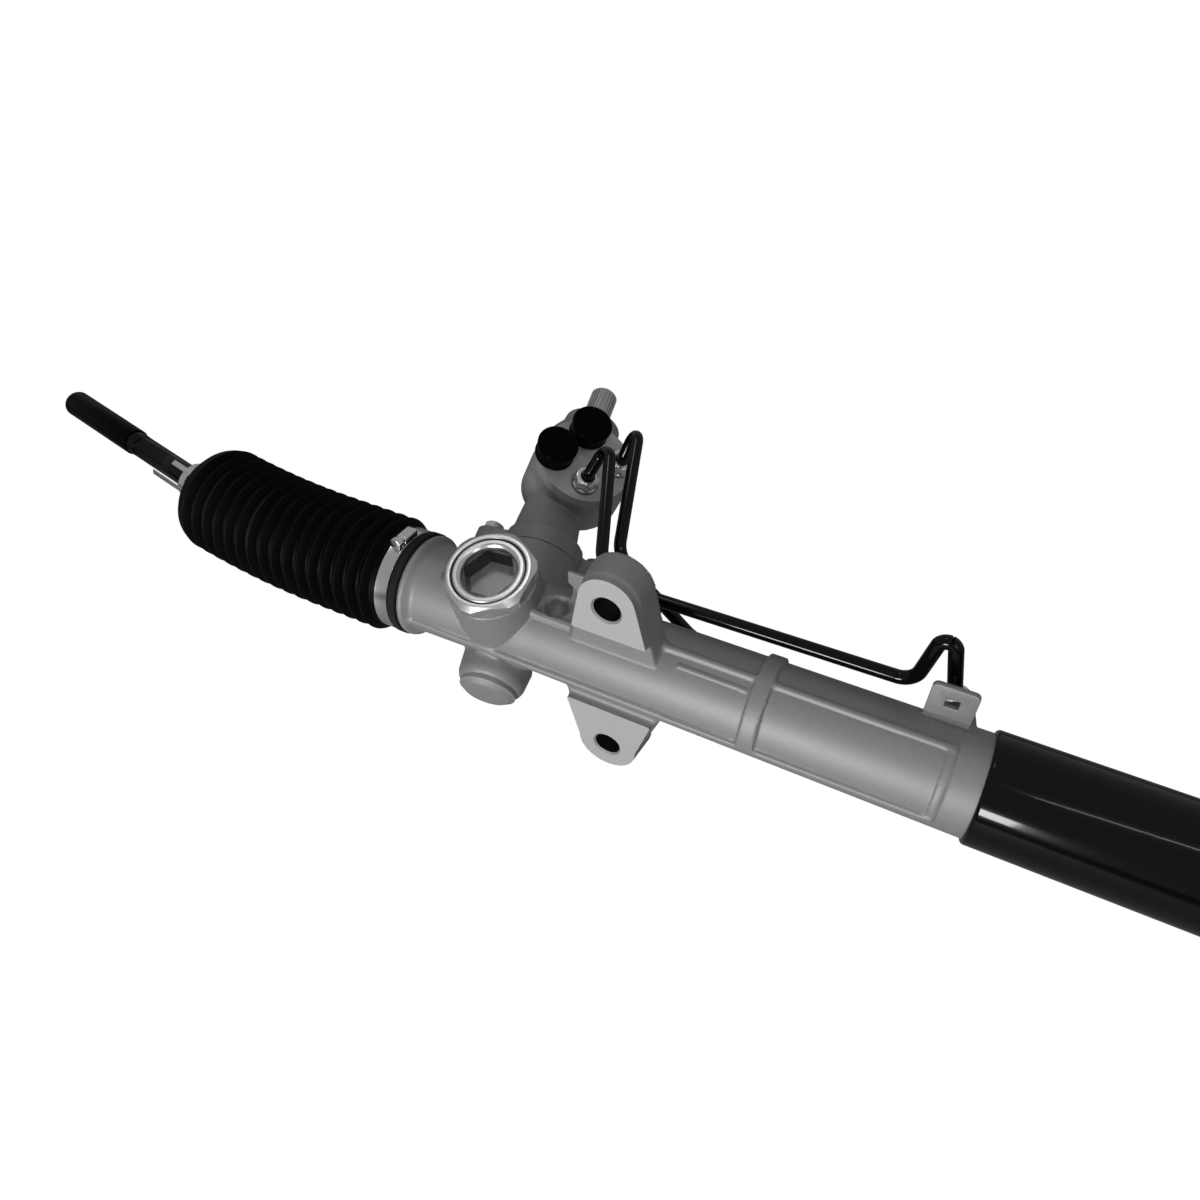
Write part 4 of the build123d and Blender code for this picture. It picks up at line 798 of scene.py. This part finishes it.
class RACK_OT_valve_housing(bpy.types.Operator):
    """Cast valve housing with its milled port face"""
    bl_idname = "rack.valve_housing"
    bl_label = "Valve housing"

    def execute(self, context):
        piece = node_copy("cast_valve_housing", "valve_housing")
        foot = PIN_O.dot(PIN_U) + GASKET_AT + GASKET_T
        head = PIN_O.dot(PIN_U) + VALVE_END
        face = PIN_O.dot(PORT_Q) + PORT_FACE
        planes = [(-PIN_U, -foot), (PIN_U, head), (PORT_Q, face)]
        for normal, level in planes:
            raise_faces(piece, normal, level, VALVE_STOCK)
        fills = [drum("fill", PIN_O + PIN_U * (GASKET_AT - 1), PIN_U, 14.4, 98.4)]
        fills += [drum("fill", on_port(*at, 10), PORT_Q, 6.5, 15.9) for at in NUT_PORTS + CAP_PORTS]
        fills += [drum("fill", valve_bolt(a, b) - PIN_U, PIN_U, 3.6, 11.6) for a, b in VALVE_BOLTS]
        melted(joined(piece, *fills), 0.62, 4)
        trued(piece, PIN_O, PIN_U, VALVE_R, (89, 102))
        trued(piece, PIN_O, PIN_U, VALVE_R - 103 * VALVE_TAPER, (104, 118), VALVE_TAPER)
        machined(piece, block("mill", PIN_O + PIN_U * (GASKET_AT + GASKET_T - MILL_T / 2), MILL, PIN_U),
                 block("mill", PIN_O + PIN_U * (VALVE_END + MILL_T / 2), MILL, PIN_U),
                 block("mill", on_port(100, 0, PORT_FACE + MILL_T / 2), MILL, PORT_Q),
                 drum("bore", PIN_O + PIN_U * 40, PIN_U, VALVE_BORE_R, 110))
        for at in NUT_PORTS:
            machined(piece, drum("spotface", on_port(*at, PORT_FACE - SPOT_DEPTH), PORT_Q, 7.6, 4),
                     drum("drill", on_port(*at, 12), PORT_Q, NUT_PORT_R, 16, 48))
        for at in CAP_PORTS:
            machined(piece, drum("drill", on_port(*at, 12), PORT_Q, CAP_PORT_R, 16, 48))
        cast_skin(piece, planes + [(PORT_Q, face - SPOT_DEPTH)])
        dressed(piece, None, "housing", "cast_aluminium", "valve_housing", angle=38)
        return {"FINISHED"}


class RACK_OT_lock_nut(bpy.types.Operator):
    """Lock nut and adjuster plug of the yoke"""
    bl_idname = "rack.lock_nut"
    bl_label = "Lock nut and plug"

    def execute(self, context):
        def fit(piece, look, *nodes):
            dressed(piece, look, "housing", "bright_nut", *nodes, angle=22)

        top, low, floor = PLUG_TOP, PLUG_TOP - NUT_T, 27.6
        rings = (YOKE_O, YOKE_N)
        nut = turned("lock_nut", YOKE_O, YOKE_N, [
            (low, 17.4), (low, 20.8), (low + 0.4, 21.4), (low + 1.6, 22.8), (top - 1.9, 22.8),
            (top - 0.5, 20.6), (top - 0.05, 20.2), (top, 19.9), (top, 18.5), (top - 0.3, 18.1),
            (top - 1.6, 18.0), (top - 1.7, 17.4), (low, 17.4)], 160)
        hexed(nut, YOKE_O + YOKE_N * (low - 1), YOKE_N, sizes().nut_flats, NUT_T + 2, 0.22, toward=X)
        fit(nut, bright_look("turned_nut", rings), "yoke_lock_nut")
        plug = turned("adjuster_plug_turned", YOKE_O, YOKE_N, [
            (24.0, 0), (24.0, 17.25), (top - 0.7, 17.25), (top - 0.2, 16.9), (top - 0.02, 16.5),
            (top, 15.9), (top - 0.02, 15.2), (top - 0.5, 14.2), (top - 1.3, 13.5), (top - 1.7, SOCKET_R),
            (floor, SOCKET_R), (floor, 1.2), (floor - 0.8, 0.0)], 160)
        fit(plug, bright_look("turned_plug", rings), "adjuster_plug")
        # Near-black ring in the gap between the nut and the plug: painted shade.
        gap_shade = turned("painted_gap_shade", YOKE_O, YOKE_N, [
            (top - 1.9, 17.3), (top - 1.9, 18.02), (top - 1.3, 18.02), (top - 1.3, 17.3), (top - 1.9, 17.3)])
        fit(gap_shade, painted_shade_look())
        disc = drum("socket_floor", YOKE_O + YOKE_N * (floor - 0.2), YOKE_N, SOCKET_R - 0.02, 0.4, 96)
        fit(disc, disc_look())
        # Dark lining of the hexagon socket: its walls carry painted shade.
        socket = drum("socket_hexagon", YOKE_O + YOKE_N * floor, YOKE_N, SOCKET_R - 0.02,
                      top - 3.0 - floor, 160)
        corner = facing(YOKE_N, X).to_matrix() @ Vector((cos(radians(35)), sin(radians(35)), 0))
        cut(socket, drum("flats", YOKE_O + YOKE_N * (floor - 1), YOKE_N, 13.3, 14, 6, toward=corner))
        bevelled(socket, 0.25, 25)
        fit(socket, socket_shade_look())
        return {"FINISHED"}


class RACK_OT_fittings(bpy.types.Operator):
    """Caps of the open ports, pipe nuts and bolts of the valve housing"""
    bl_idname = "rack.fittings"
    bl_label = "Port caps, nuts and bolts"

    def execute(self, context):
        caps = [port_cap(on_port(*port, PORT_FACE)) for port in CAP_PORTS]
        dressed(joined(*caps), plastic_look(), "housing", "black_plastic", "port_caps", angle=40)
        seats = [(on_port(*port, PORT_FACE), PORT_Q) for port in NUT_PORTS]
        seats += [(PORT_SEAT, PORT_DIR), (RACK_O + X * TUBE_PORT_X + LONG_DIR * BOSS_TOP, LONG_DIR)]
        nuts = [flare_nut(seat, way) for seat, way in seats]
        dressed(joined(*nuts), zinc_look(), "housing", "zinc_steel", "flare_nuts")
        bolts = [flange_bolt(valve_bolt(a, b) + PIN_U * 10.8) for a, b in VALVE_BOLTS]
        dressed(joined(*bolts), zinc_look(), "housing", "zinc_steel", "valve_housing_bolts")
        return {"FINISHED"}


def port_cap(seat):
    """Plastic cap with a rim and a hollow top, plugged into an open port."""
    return turned("port_cap", seat, PORT_Q, [
        (-7.0, 0), (-7.0, 5.2), (0.02, 5.2), (0.02, 10.2), (0.5, 10.7), (1.6, 10.7), (2.0, 10.2),
        (8.0, 10.3), (8.4, 11.0), (9.6, 11.1), (10.1, 10.9), (10.4, 10.4), (10.4, 9.9), (10.0, 9.5),
        (10.0, 0)], 112)


def flare_nut(seat, way):
    """Pipe nut: hexagon with a collar, screwed into a port."""
    body = turned("flare_nut", seat, way, [
        (-7.0, 3.2), (-7.0, 4.45), (0.5, 4.45), (0.5, 6.9), (6.4, 6.9), (7.2, 6.1), (7.55, 5.2),
        (7.55, 3.9), (7.0, 3.2), (-7.0, 3.2)])
    hexed(body, seat - way * 8.0, way, 12.0, 20.0, 0.2)
    return joined(body, turned("collar", seat, way, [
        (0.0, 3.2), (0.0, 6.5), (0.2, 6.6), (0.9, 6.6), (1.1, 6.3), (1.1, 3.2), (0.0, 3.2)]))


def flange_bolt(seat):
    """Hexagon bolt with a round flange."""
    head = turned("bolt_head", seat, PIN_U, [
        (0.5, 0), (0.5, 5.9), (4.2, 5.9), (5.0, 5.0), (5.0, 4.0), (4.6, 3.4), (4.6, 0)])
    hexed(head, seat, PIN_U, 10.0, 8.0, 0.2)
    return joined(head, turned("bolt_flange", seat, PIN_U, [
        (-20.0, 0), (-20.0, 2.95), (0.0, 2.95), (0.0, 6.4), (0.2, 6.6), (0.6, 6.5), (1.3, 5.7), (1.4, 5.0),
        (1.4, 0)]))


# Hydraulic tube, pipes and right end

class RACK_OT_tube(bpy.types.Operator):
    """Gloss cylinder tube with its port boss"""
    bl_idname = "rack.tube"
    bl_label = "Cylinder tube"

    def execute(self, context):
        r, bore_r = sizes().tube_r, 22.0
        start, end = TUBE_START + 0.1, TUBE_END - 0.1
        piece = turned("tube_barrel", RACK_O, X, [
            (start, bore_r), (end, bore_r), (end, r - 0.8), (end - 0.8, r), (TUBE_START + 1.6, r),
            (TUBE_START + 0.9, r - 0.2), (TUBE_START + 0.3, r - 0.8), (start, r - 1.6), (start, bore_r)],
            192)
        dressed(piece, black_look(), "housing", "black_tube")
        seat = RACK_O + X * TUBE_PORT_X + LONG_DIR * 23.5
        boss = turned("tube_port_boss", seat, LONG_DIR, [
            (0, NUT_PORT_R), (0, 9.6), (1.4, 8.8), (2.6, 8.0), (8.9, 8.0), (9.5, 7.4), (9.5, NUT_PORT_R),
            (0, NUT_PORT_R)])
        dressed(boss, black_look(), "housing", "black_tube", "cylinder_tube")
        return {"FINISHED"}


class RACK_OT_pipes(bpy.types.Operator):
    """Rigid pipes from the valve to both ends of the cylinder"""
    bl_idname = "rack.pipes"
    bl_label = "Pipes"

    def execute(self, context):
        short_y, long_y = RACK_Y + 22.0, RACK_Y + 41.0
        short = [on_port(*NUT_PORTS[0], 16), on_port(*NUT_PORTS[0], 33), on_port(98.5, 9, 50.5),
                 Vector((-27, RACK_Y + 30, 27)), Vector((-8, short_y, 21)), Vector((126, short_y, 24)),
                 Vector((131, short_y + 0.5, PORT_PEAK.z + 1)), PORT_PEAK, PORT_SEAT - PORT_DIR * 4]
        long = [on_port(*NUT_PORTS[1], 16), on_port(*NUT_PORTS[1], 33), on_port(117, 20, 51),
                Vector((-22.9, long_y - 1, 23)), Vector((20, long_y, -17)), beside(332, 44.4),
                beside(343, 60), beside(TUBE_PORT_X, 60), beside(TUBE_PORT_X, BOSS_TOP - 4)]
        for name, route, bends in (("short_pipe", short, (5, 6.5, 14, 14, 9, 4, 4)),
                                   ("long_pipe", long, (5, 6.5, 14, 14, 10, 6, 6))):
            piece = tube_along(f"{name}_bent", route, bends, sizes().pipe_r)
            dressed(piece, black_look(), "housing", "black_pipe", name, angle=60)
        return {"FINISHED"}


def beside(x, reach):
    """Point off the rack's axis, on the side of the tube's port, in mm."""
    return RACK_O + X * x + LONG_DIR * reach


# Bellows, clamps and tie rods. Their line runs straight, then in an arc, then along the tie rod

ARC_T = 58.0
ARC_R = ARC_T / tan(ROD_TILT / 2)
STRAIGHT = MOUTH_IN - ARC_T
ARC_L = ARC_R * ROD_TILT
BALL_AT = STRAIGHT + ARC_L - ARC_T
FOLD_START = 14.6
FOLD_END = BALL_AT + 30.0
BOOT_END = BALL_AT + 56.0
RUBBER_T = 1.6
SIDES = ((-1, "left"), (1, "right"))


def boot_frame(side, along):
    """Centre, direction and lift of the bellows' line at a length from its mouth, in mm."""
    way, out = rod_way(side), X * side
    lift = (way - X * way.x).normalized()
    if along <= STRAIGHT:
        return ball(side) + out * (along - MOUTH_IN), out, lift
    turn = min((along - STRAIGHT) / ARC_R, ROD_TILT)
    here = out * cos(turn) + lift * sin(turn)
    at = ball(side) + out * (ARC_R * sin(turn) - ARC_T) + lift * (ARC_R * (1 - cos(turn)))
    return at + here * max(0.0, along - STRAIGHT - ARC_L), here, (lift * cos(turn) - out * sin(turn))


def fold_pitch():
    return (FOLD_END - FOLD_START) / sizes().folds


def fold_section(first, last):
    """Outer section of the folds from one valley to another, as (along, radius)."""
    size, pitch = sizes(), fold_pitch()
    flank = ((0.14, size.valley_r + 0.35), (0.34, size.crest_r - 1.1), (0.44, size.crest_r - 0.45),
             (0.48, size.crest_r - 0.08))
    points = []
    for i in range(first, last):
        at = FOLD_START + i * pitch
        points.append((at, size.valley_r))
        points += [(at + share * pitch, radius) for share, radius in flank]
        points.append((at + 0.5 * pitch, size.crest_r))
        points += [(at + (1 - share) * pitch, radius) for share, radius in reversed(flank)]
    return points


def bellows_piece(name, side, outer, inner):
    """Ring of rubber between an outer and an inner section, bent along the bellows' line."""
    piece = turned(name, Vector((0, 0, 0)), X, outer + inner[::-1] + [outer[0]], 112)
    for vertex in piece.data.vertices:
        p = vertex.co / MM
        at, way, lift = boot_frame(side, p.x)
        level = way.cross(lift)
        vertex.co = (at + lift * p.y + level * p.z) * MM
    pick(piece)
    edit()
    bpy.ops.mesh.normals_make_consistent(inside=False)
    leave()
    return piece


class RACK_OT_bellows(bpy.types.Operator):
    """Both bellows, each split at fold valleys so that it follows rack and tie rod"""
    bl_idname = "rack.bellows"
    bl_label = "Bellows"

    def execute(self, context):
        crest_r, valley_r = sizes().crest_r, sizes().valley_r
        inside_r, cuff_r, end = valley_r - RUBBER_T, 22.35, FOLD_END
        first = round((BALL_AT - 16 - FOLD_START) / fold_pitch())
        second = round((BALL_AT + 14 - FOLD_START) / fold_pitch())
        a, b = FOLD_START + first * fold_pitch(), FOLD_START + second * fold_pitch()
        long_outer = [(0.05, 26.4), (0.5, 27.1), (4.0, 27.1), (4.6, 26.4), (BAND[0], 25.6), (BAND[1], 25.6),
                      (BAND[1] + 0.5, 26.2), *fold_section(0, first), (a, valley_r)]
        long_inner = [(0.05, cuff_r), (18.7, cuff_r), (19.6, inside_r), (a, inside_r)]
        joint_outer = fold_section(first, second) + [(b, valley_r)]
        joint_inner = [(a, inside_r), (b, inside_r)]
        end_outer = fold_section(second, sizes().folds)[:-3] + [
            (end - 0.6, crest_r - 1.0), (end + 0.8, crest_r - 1.6), (end + 2.4, 27.6), (end + 5.0, 25.4),
            (end + 7.6, 22.4), (end + 10.0, 18.6), (end + 11.6, 14.4), (end + 12.8, 11.0), (end + 14.0, 9.7),
            (BOOT_END - 4.2, 9.6), (BOOT_END - 3.6, 10.6), (BOOT_END - 0.6, 10.7), (BOOT_END, 10.1)]
        end_inner = [(b, inside_r), (end, inside_r), (end + 5.0, 21.0), (end + 11.0, 7.2), (BOOT_END, 7.2)]
        for side, name in SIDES:
            body = bellows_piece(f"bellows_{name}_long", side, long_outer, long_inner)
            dressed(body, rubber_look(), None, "bellows_rubber", f"boot_{name}")
            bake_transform(body)
            body = bellows_piece(f"bellows_{name}_joint", side, joint_outer, joint_inner)
            dressed(body, rubber_look(), None, "bellows_rubber")
            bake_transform(body)
            body = bellows_piece(f"bellows_{name}_end", side, end_outer, end_inner)
            dressed(body, rubber_look(), None, "bellows_rubber")
            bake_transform(body)
        return {"FINISHED"}


def round_axis(turn):
    """Outward and onward directions at an angle about the rack's axis."""
    return Vector((0, cos(turn), sin(turn))), Vector((0, -sin(turn), cos(turn)))


class RACK_OT_clamps(bpy.types.Operator):
    """Worm clamps on the large cuffs and spring clamps on the small ones"""
    bl_idname = "rack.clamps"
    bl_label = "Clamps"

    def execute(self, context):
        for side, name in SIDES:
            worm_clamp(side, name)
            spring_clamp(side, name)
        return {"FINISHED"}


def worm_clamp(side, name):
    """Slotted band with its screw housing and screw."""
    out, width = X * side, BAND[1] - BAND[0]
    start = ball(side) + out * (BAND[0] - MOUTH_IN)
    band = turned(f"worm_clamp_{name}", start, out, [
        (0.3, 25.65), (0.3, 26.5), (0.5, 26.75), (0.8, 26.7), (width - 0.8, 26.7),
        (width - 0.5, 26.75), (width - 0.3, 26.5), (width - 0.3, 25.65), (0.3, 25.65)], 144)
    up, around = round_axis(radians(86.0))
    seat = start + out * 3.2
    axis = seat + up * 28.8
    shell = block("worm_shell", seat + up * 28.3, (6.0, 10.0, 4.2), up, X)
    bevelled(shell, 0.9, 30, 3)
    neck = drum("worm_neck", axis + around * 4.5, around, 1.6, 3.0, 32)
    head = drum("worm_head", axis + around * 6.5, around, 3.35, 3.6, 6)
    bevelled(head, 0.35, 25)
    cut(head, block("slot", axis + around * 10.1, (6.6, 0.9, 1.6), around, up))
    marks = []
    for degrees in range(20, 74, 6):
        up, around = round_axis(radians(degrees))
        at = start + out * (width / 2 + 0.6) + up * 26.9
        marks.append(block("slot", at, (4.6, 1.0, 1.2), up, X + around * 0.25))
    cut(band, joined(*marks))
    dressed(joined(band, shell, neck, head), band_look(), "housing", "band_steel", f"boot_clamp_{name}")


def spring_clamp(side, name):
    """Grooved ring of spring steel with two tangs along the cuff."""
    way = rod_way(side)
    ring = turned(f"spring_clamp_{name}_band", ball(side), way, [
        (TANG_AT - 3.2, 9.8), (TANG_AT - 3.2, 10.9), (TANG_AT - 2.9, 11.1), (TANG_AT + 1.0, 11.1),
        (TANG_AT + 1.3, 10.7), (TANG_AT + 1.9, 10.7), (TANG_AT + 2.2, 11.1), (TANG_AT + 6.4, 11.1),
        (TANG_AT + 6.8, 10.8), (TANG_AT + 6.8, 9.8), (TANG_AT - 3.2, 9.8)])
    tangs = []
    for around, length in ((108.0, 19.0), (172.0, 31.0)):
        reach = round_axis(radians(around))[0]
        reach = (reach - way * reach.dot(way)).normalized()
        foot = ball(side) + way * TANG_AT + reach * (CUFF_R - 0.3)
        post = block("tang_foot", foot + reach * 0.9, (3.2, 3.2, 1.8), reach, way)
        blade = block("tang", foot + reach * 1.65 + way * (length / 2 - 1.6), (length, 3.2, 0.9), reach, way)
        bevelled(blade, 0.4, 30)
        bevelled(post, 0.3, 30)
        tangs += [post, blade]
    dressed(joined(ring, *tangs), band_look(), f"tie_rod_{name}", "band_steel", f"spring_clamp_{name}")


class RACK_OT_tie_rods(bpy.types.Operator):
    """Tie rods with ball ends, wrench flats and thread caps"""
    bl_idname = "rack.tie_rods"
    bl_label = "Tie rods"

    def execute(self, context):
        for side, name in SIDES:
            tie_rod(side, name)
            rod_cap(side, name)
        return {"FINISHED"}


def tie_rod(side, name):
    """Forged rod with its ball, and six flats for a wrench."""
    r, way, ball_r, end = sizes().rod_r, rod_way(side), 11.0, 166.0
    globe = [(-ball_r * cos(t * pi / 24), ball_r * sin(t * pi / 24)) for t in range(20)]
    globe[0] = (-ball_r, 0)
    rod = turned(f"tie_rod_{name}_forged", ball(side), way, globe + [
        (9.6, 5.4), (15.5, 5.4), (17.0, 6.0), (18.5, r), (58.0, r), (58.6, r), (end - 1.0, r),
        (end, r - 1.0), (end, 0)])
    turn = facing(way, Y).to_matrix()
    for k in range(6):
        y = turn @ Vector((cos(radians(60 * k + 10)), sin(radians(60 * k + 10)), 0))
        cut(rod, block("flat", ball(side) + way * 90 + y * (r + 0.75), (26, 8, 3.0), y, way))
    bevelled(rod, 0.2, 25)
    dressed(rod, rod_look(), f"tie_rod_{name}", "black_rod", f"tie_rod_{name}")


def rod_cap(side, name):
    """Plastic cap over the rod's thread."""
    inside_r, cap_r, start = sizes().rod_r + 0.05, sizes().cap_r, 110.0
    cap = turned(f"rod_cap_{name}_moulded", ball(side), rod_way(side), [
        (start, inside_r), (start, cap_r - 0.3), (start + 0.3, cap_r), (169.5, cap_r), (170.6, cap_r - 0.5),
        (171.2, cap_r - 1.3), (171.5, cap_r - 2.4), (171.5, 4.2), (171.0, 3.9), (171.0, 0), (167.0, 0),
        (167.0, inside_r), (start, inside_r)])
    dressed(cap, plastic_look(), f"tie_rod_{name}", "black_plastic", f"rod_cap_{name}")


# Looks of the frame's own nodes

SLOT_LOOKS = {
    "cast_aluminium": cast_look, "bright_nut": bright_look, "ground_steel": ground_look,
    "zinc_steel": zinc_look, "band_steel": band_look, "black_tube": black_look,
    "black_pipe": black_look, "black_rod": rod_look, "saddle_steel": saddle_look,
    "bellows_rubber": rubber_look, "seal_rubber": seal_look, "mount_rubber": seal_look,
    "gasket_black": seal_look, "black_plastic": plastic_look, "bearing_plastic": liner_look,
}


class RACK_OT_node_looks(bpy.types.Operator):
    """Finishes of the frame's own nodes"""
    bl_idname = "rack.node_looks"
    bl_label = "Frame finishes"

    def execute(self, context):
        for part in frame["record"]["subparts"]:
            look = SLOT_LOOKS[part["material_slot"]]()
            for slot in frame["nodes"][part["node"]].material_slots:
                slot.material = look
        return {"FINISHED"}


# Stage

# Name, place, aim, width, height and power of each lamp, in metres and watts
LAMPS = (
    ("key_lamp", (-0.15, -1.52, 0.15), (0, 0, 0), 0.35, 0.35, 14.0),
    ("zenith_lamp", (-0.5, 0.25, 1.4), (-0.05, 0, 0), 0.25, 0.25, 1.0),
    ("strip_lamp", (0.4, -0.3, 1.4), (0.15, 0, 0), 1.0, 0.012, 0.9),
    ("side_lamp", (1.2, -1.0, 0.6), (0.15, 0, 0), 0.2, 0.6, 2.0),
)
CAMERA_AT = (0.1229, -0.2436, 0.3162)
CAMERA_AXES = ((0.892, 0.452, -0.008), (-0.308, 0.622, 0.72), (0.33, -0.64, 0.694))
CAMERA_ANGLE = radians(67.38)
FLOOR_Z = -0.42
AMBIENT = 0.11
AMBIENT_SHEEN = 0.22
FLOOR_GLOW = 1.06
GLOW_SHARE = 0.94


class RACK_OT_stage(bpy.types.Operator):
    """Pale floor, soft studio lamps and the camera"""
    bl_idname = "rack.stage"
    bl_label = "Stage"

    def execute(self, context):
        context.scene.view_settings.view_transform = "Standard"
        rest()
        bpy.ops.mesh.primitive_plane_add(size=12, location=(0.15, 0, FLOOR_Z))
        floor = named("studio_floor")
        floor.data.materials.append(floor_look())
        light_world(context.scene)
        for name, at, aim, width, height, power in LAMPS:
            bpy.ops.object.light_add(type="AREA", location=at)
            lamp = context.object
            lamp.name = name
            lamp.data.shape = "RECTANGLE"
            lamp.data.size, lamp.data.size_y, lamp.data.energy = width, height, power
            lamp.rotation_euler = (Vector(at) - Vector(aim)).to_track_quat("Z", "Y").to_euler()
        bpy.ops.object.camera_add(location=CAMERA_AT)
        camera = context.object
        camera.name = "photo_camera"
        camera.data.lens_unit = "FOV"
        camera.data.angle = CAMERA_ANGLE
        camera.data.clip_start = 0.01
        camera.rotation_euler = Matrix(CAMERA_AXES).transposed().to_euler()
        context.scene.camera = camera
        return {"FINISHED"}


def light_world(scene):
    """World that is white to the camera, and dim to the object's surfaces."""
    scene.world = bpy.data.worlds.new("studio_world")
    scene.world.use_nodes = True
    tree = scene.world.node_tree
    tree.nodes.clear()
    seen = node(tree, "LightPath")
    view = reckon(tree, "MAXIMUM", seen.outputs["Is Camera Ray"], seen.outputs["Is Transmission Ray"])
    dimmed = reckon(tree, "MULTIPLY_ADD", seen.outputs["Is Glossy Ray"], AMBIENT_SHEEN, AMBIENT)
    dim = node(tree, "Background", {"Color": WHITE, "Strength": dimmed})
    plain = node(tree, "Background", {"Color": WHITE, "Strength": 1.0})
    mix = node(tree, "MixShader", {0: view, 1: dim.outputs[0], 2: plain.outputs[0]})
    node(tree, "OutputWorld", {"Surface": mix.outputs[0]})


def floor_look():
    """Pale floor that shows white to the camera but keeps the shadow."""
    look = bpy.data.materials.new("studio_floor")
    look.use_nodes = True
    tree = look.node_tree
    grain = node(tree, "Group", node_tree=grain_group())
    wire(tree, grain, {"Color": (*colours().floor, 1), "Vary": 0.0})
    surface = wire(tree, tree.nodes["Principled BSDF"], {"Roughness": 0.8,
                                                         "Base Color": grain.outputs["Color"]})
    glow = node(tree, "Emission", {"Color": WHITE, "Strength": FLOOR_GLOW})
    seen = node(tree, "LightPath")
    share = reckon(tree, "MULTIPLY", seen.outputs["Is Camera Ray"], GLOW_SHARE)
    mix = node(tree, "MixShader", {0: share, 1: surface.outputs[0], 2: glow.outputs[0]})
    wire(tree, tree.nodes["Material Output"], {"Surface": mix.outputs[0]})
    return look


STEPS = (RACK_OT_node_looks, RACK_OT_gear_housing, RACK_OT_valve_housing, RACK_OT_lock_nut,
         RACK_OT_fittings, RACK_OT_tube, RACK_OT_pipes, RACK_OT_bellows, RACK_OT_clamps,
         RACK_OT_tie_rods, RACK_OT_stage)


class RACK_PT_panel(bpy.types.Panel):
    """Steps that build the looks"""
    bl_idname = "RACK_PT_panel"
    bl_label = "Steering rack"
    bl_space_type = "VIEW_3D"
    bl_region_type = "UI"
    bl_category = "Steering rack"

    def draw(self, context):
        for group in (context.scene.rack_sizes, context.scene.rack_colours):
            for key in group.bl_rna.properties.keys():
                if key not in ("rna_type", "name"):
                    self.layout.prop(group, key)
        for step in STEPS:
            self.layout.operator(step.bl_idname)


CLASSES = (RackSizes, RackColours, *STEPS, RACK_PT_panel)


def register():
    for cls in CLASSES:
        bpy.utils.register_class(cls)
    bpy.types.Scene.rack_sizes = PointerProperty(type=RackSizes)
    bpy.types.Scene.rack_colours = PointerProperty(type=RackColours)


def unregister():
    del bpy.types.Scene.rack_colours
    del bpy.types.Scene.rack_sizes
    for cls in reversed(CLASSES):
        bpy.utils.unregister_class(cls)


def main():
    register()
    for step in STEPS:
        group, label = step.bl_idname.split(".")
        getattr(getattr(bpy.ops, group), label)()
    rest()


if __name__ == "__main__":
    main()
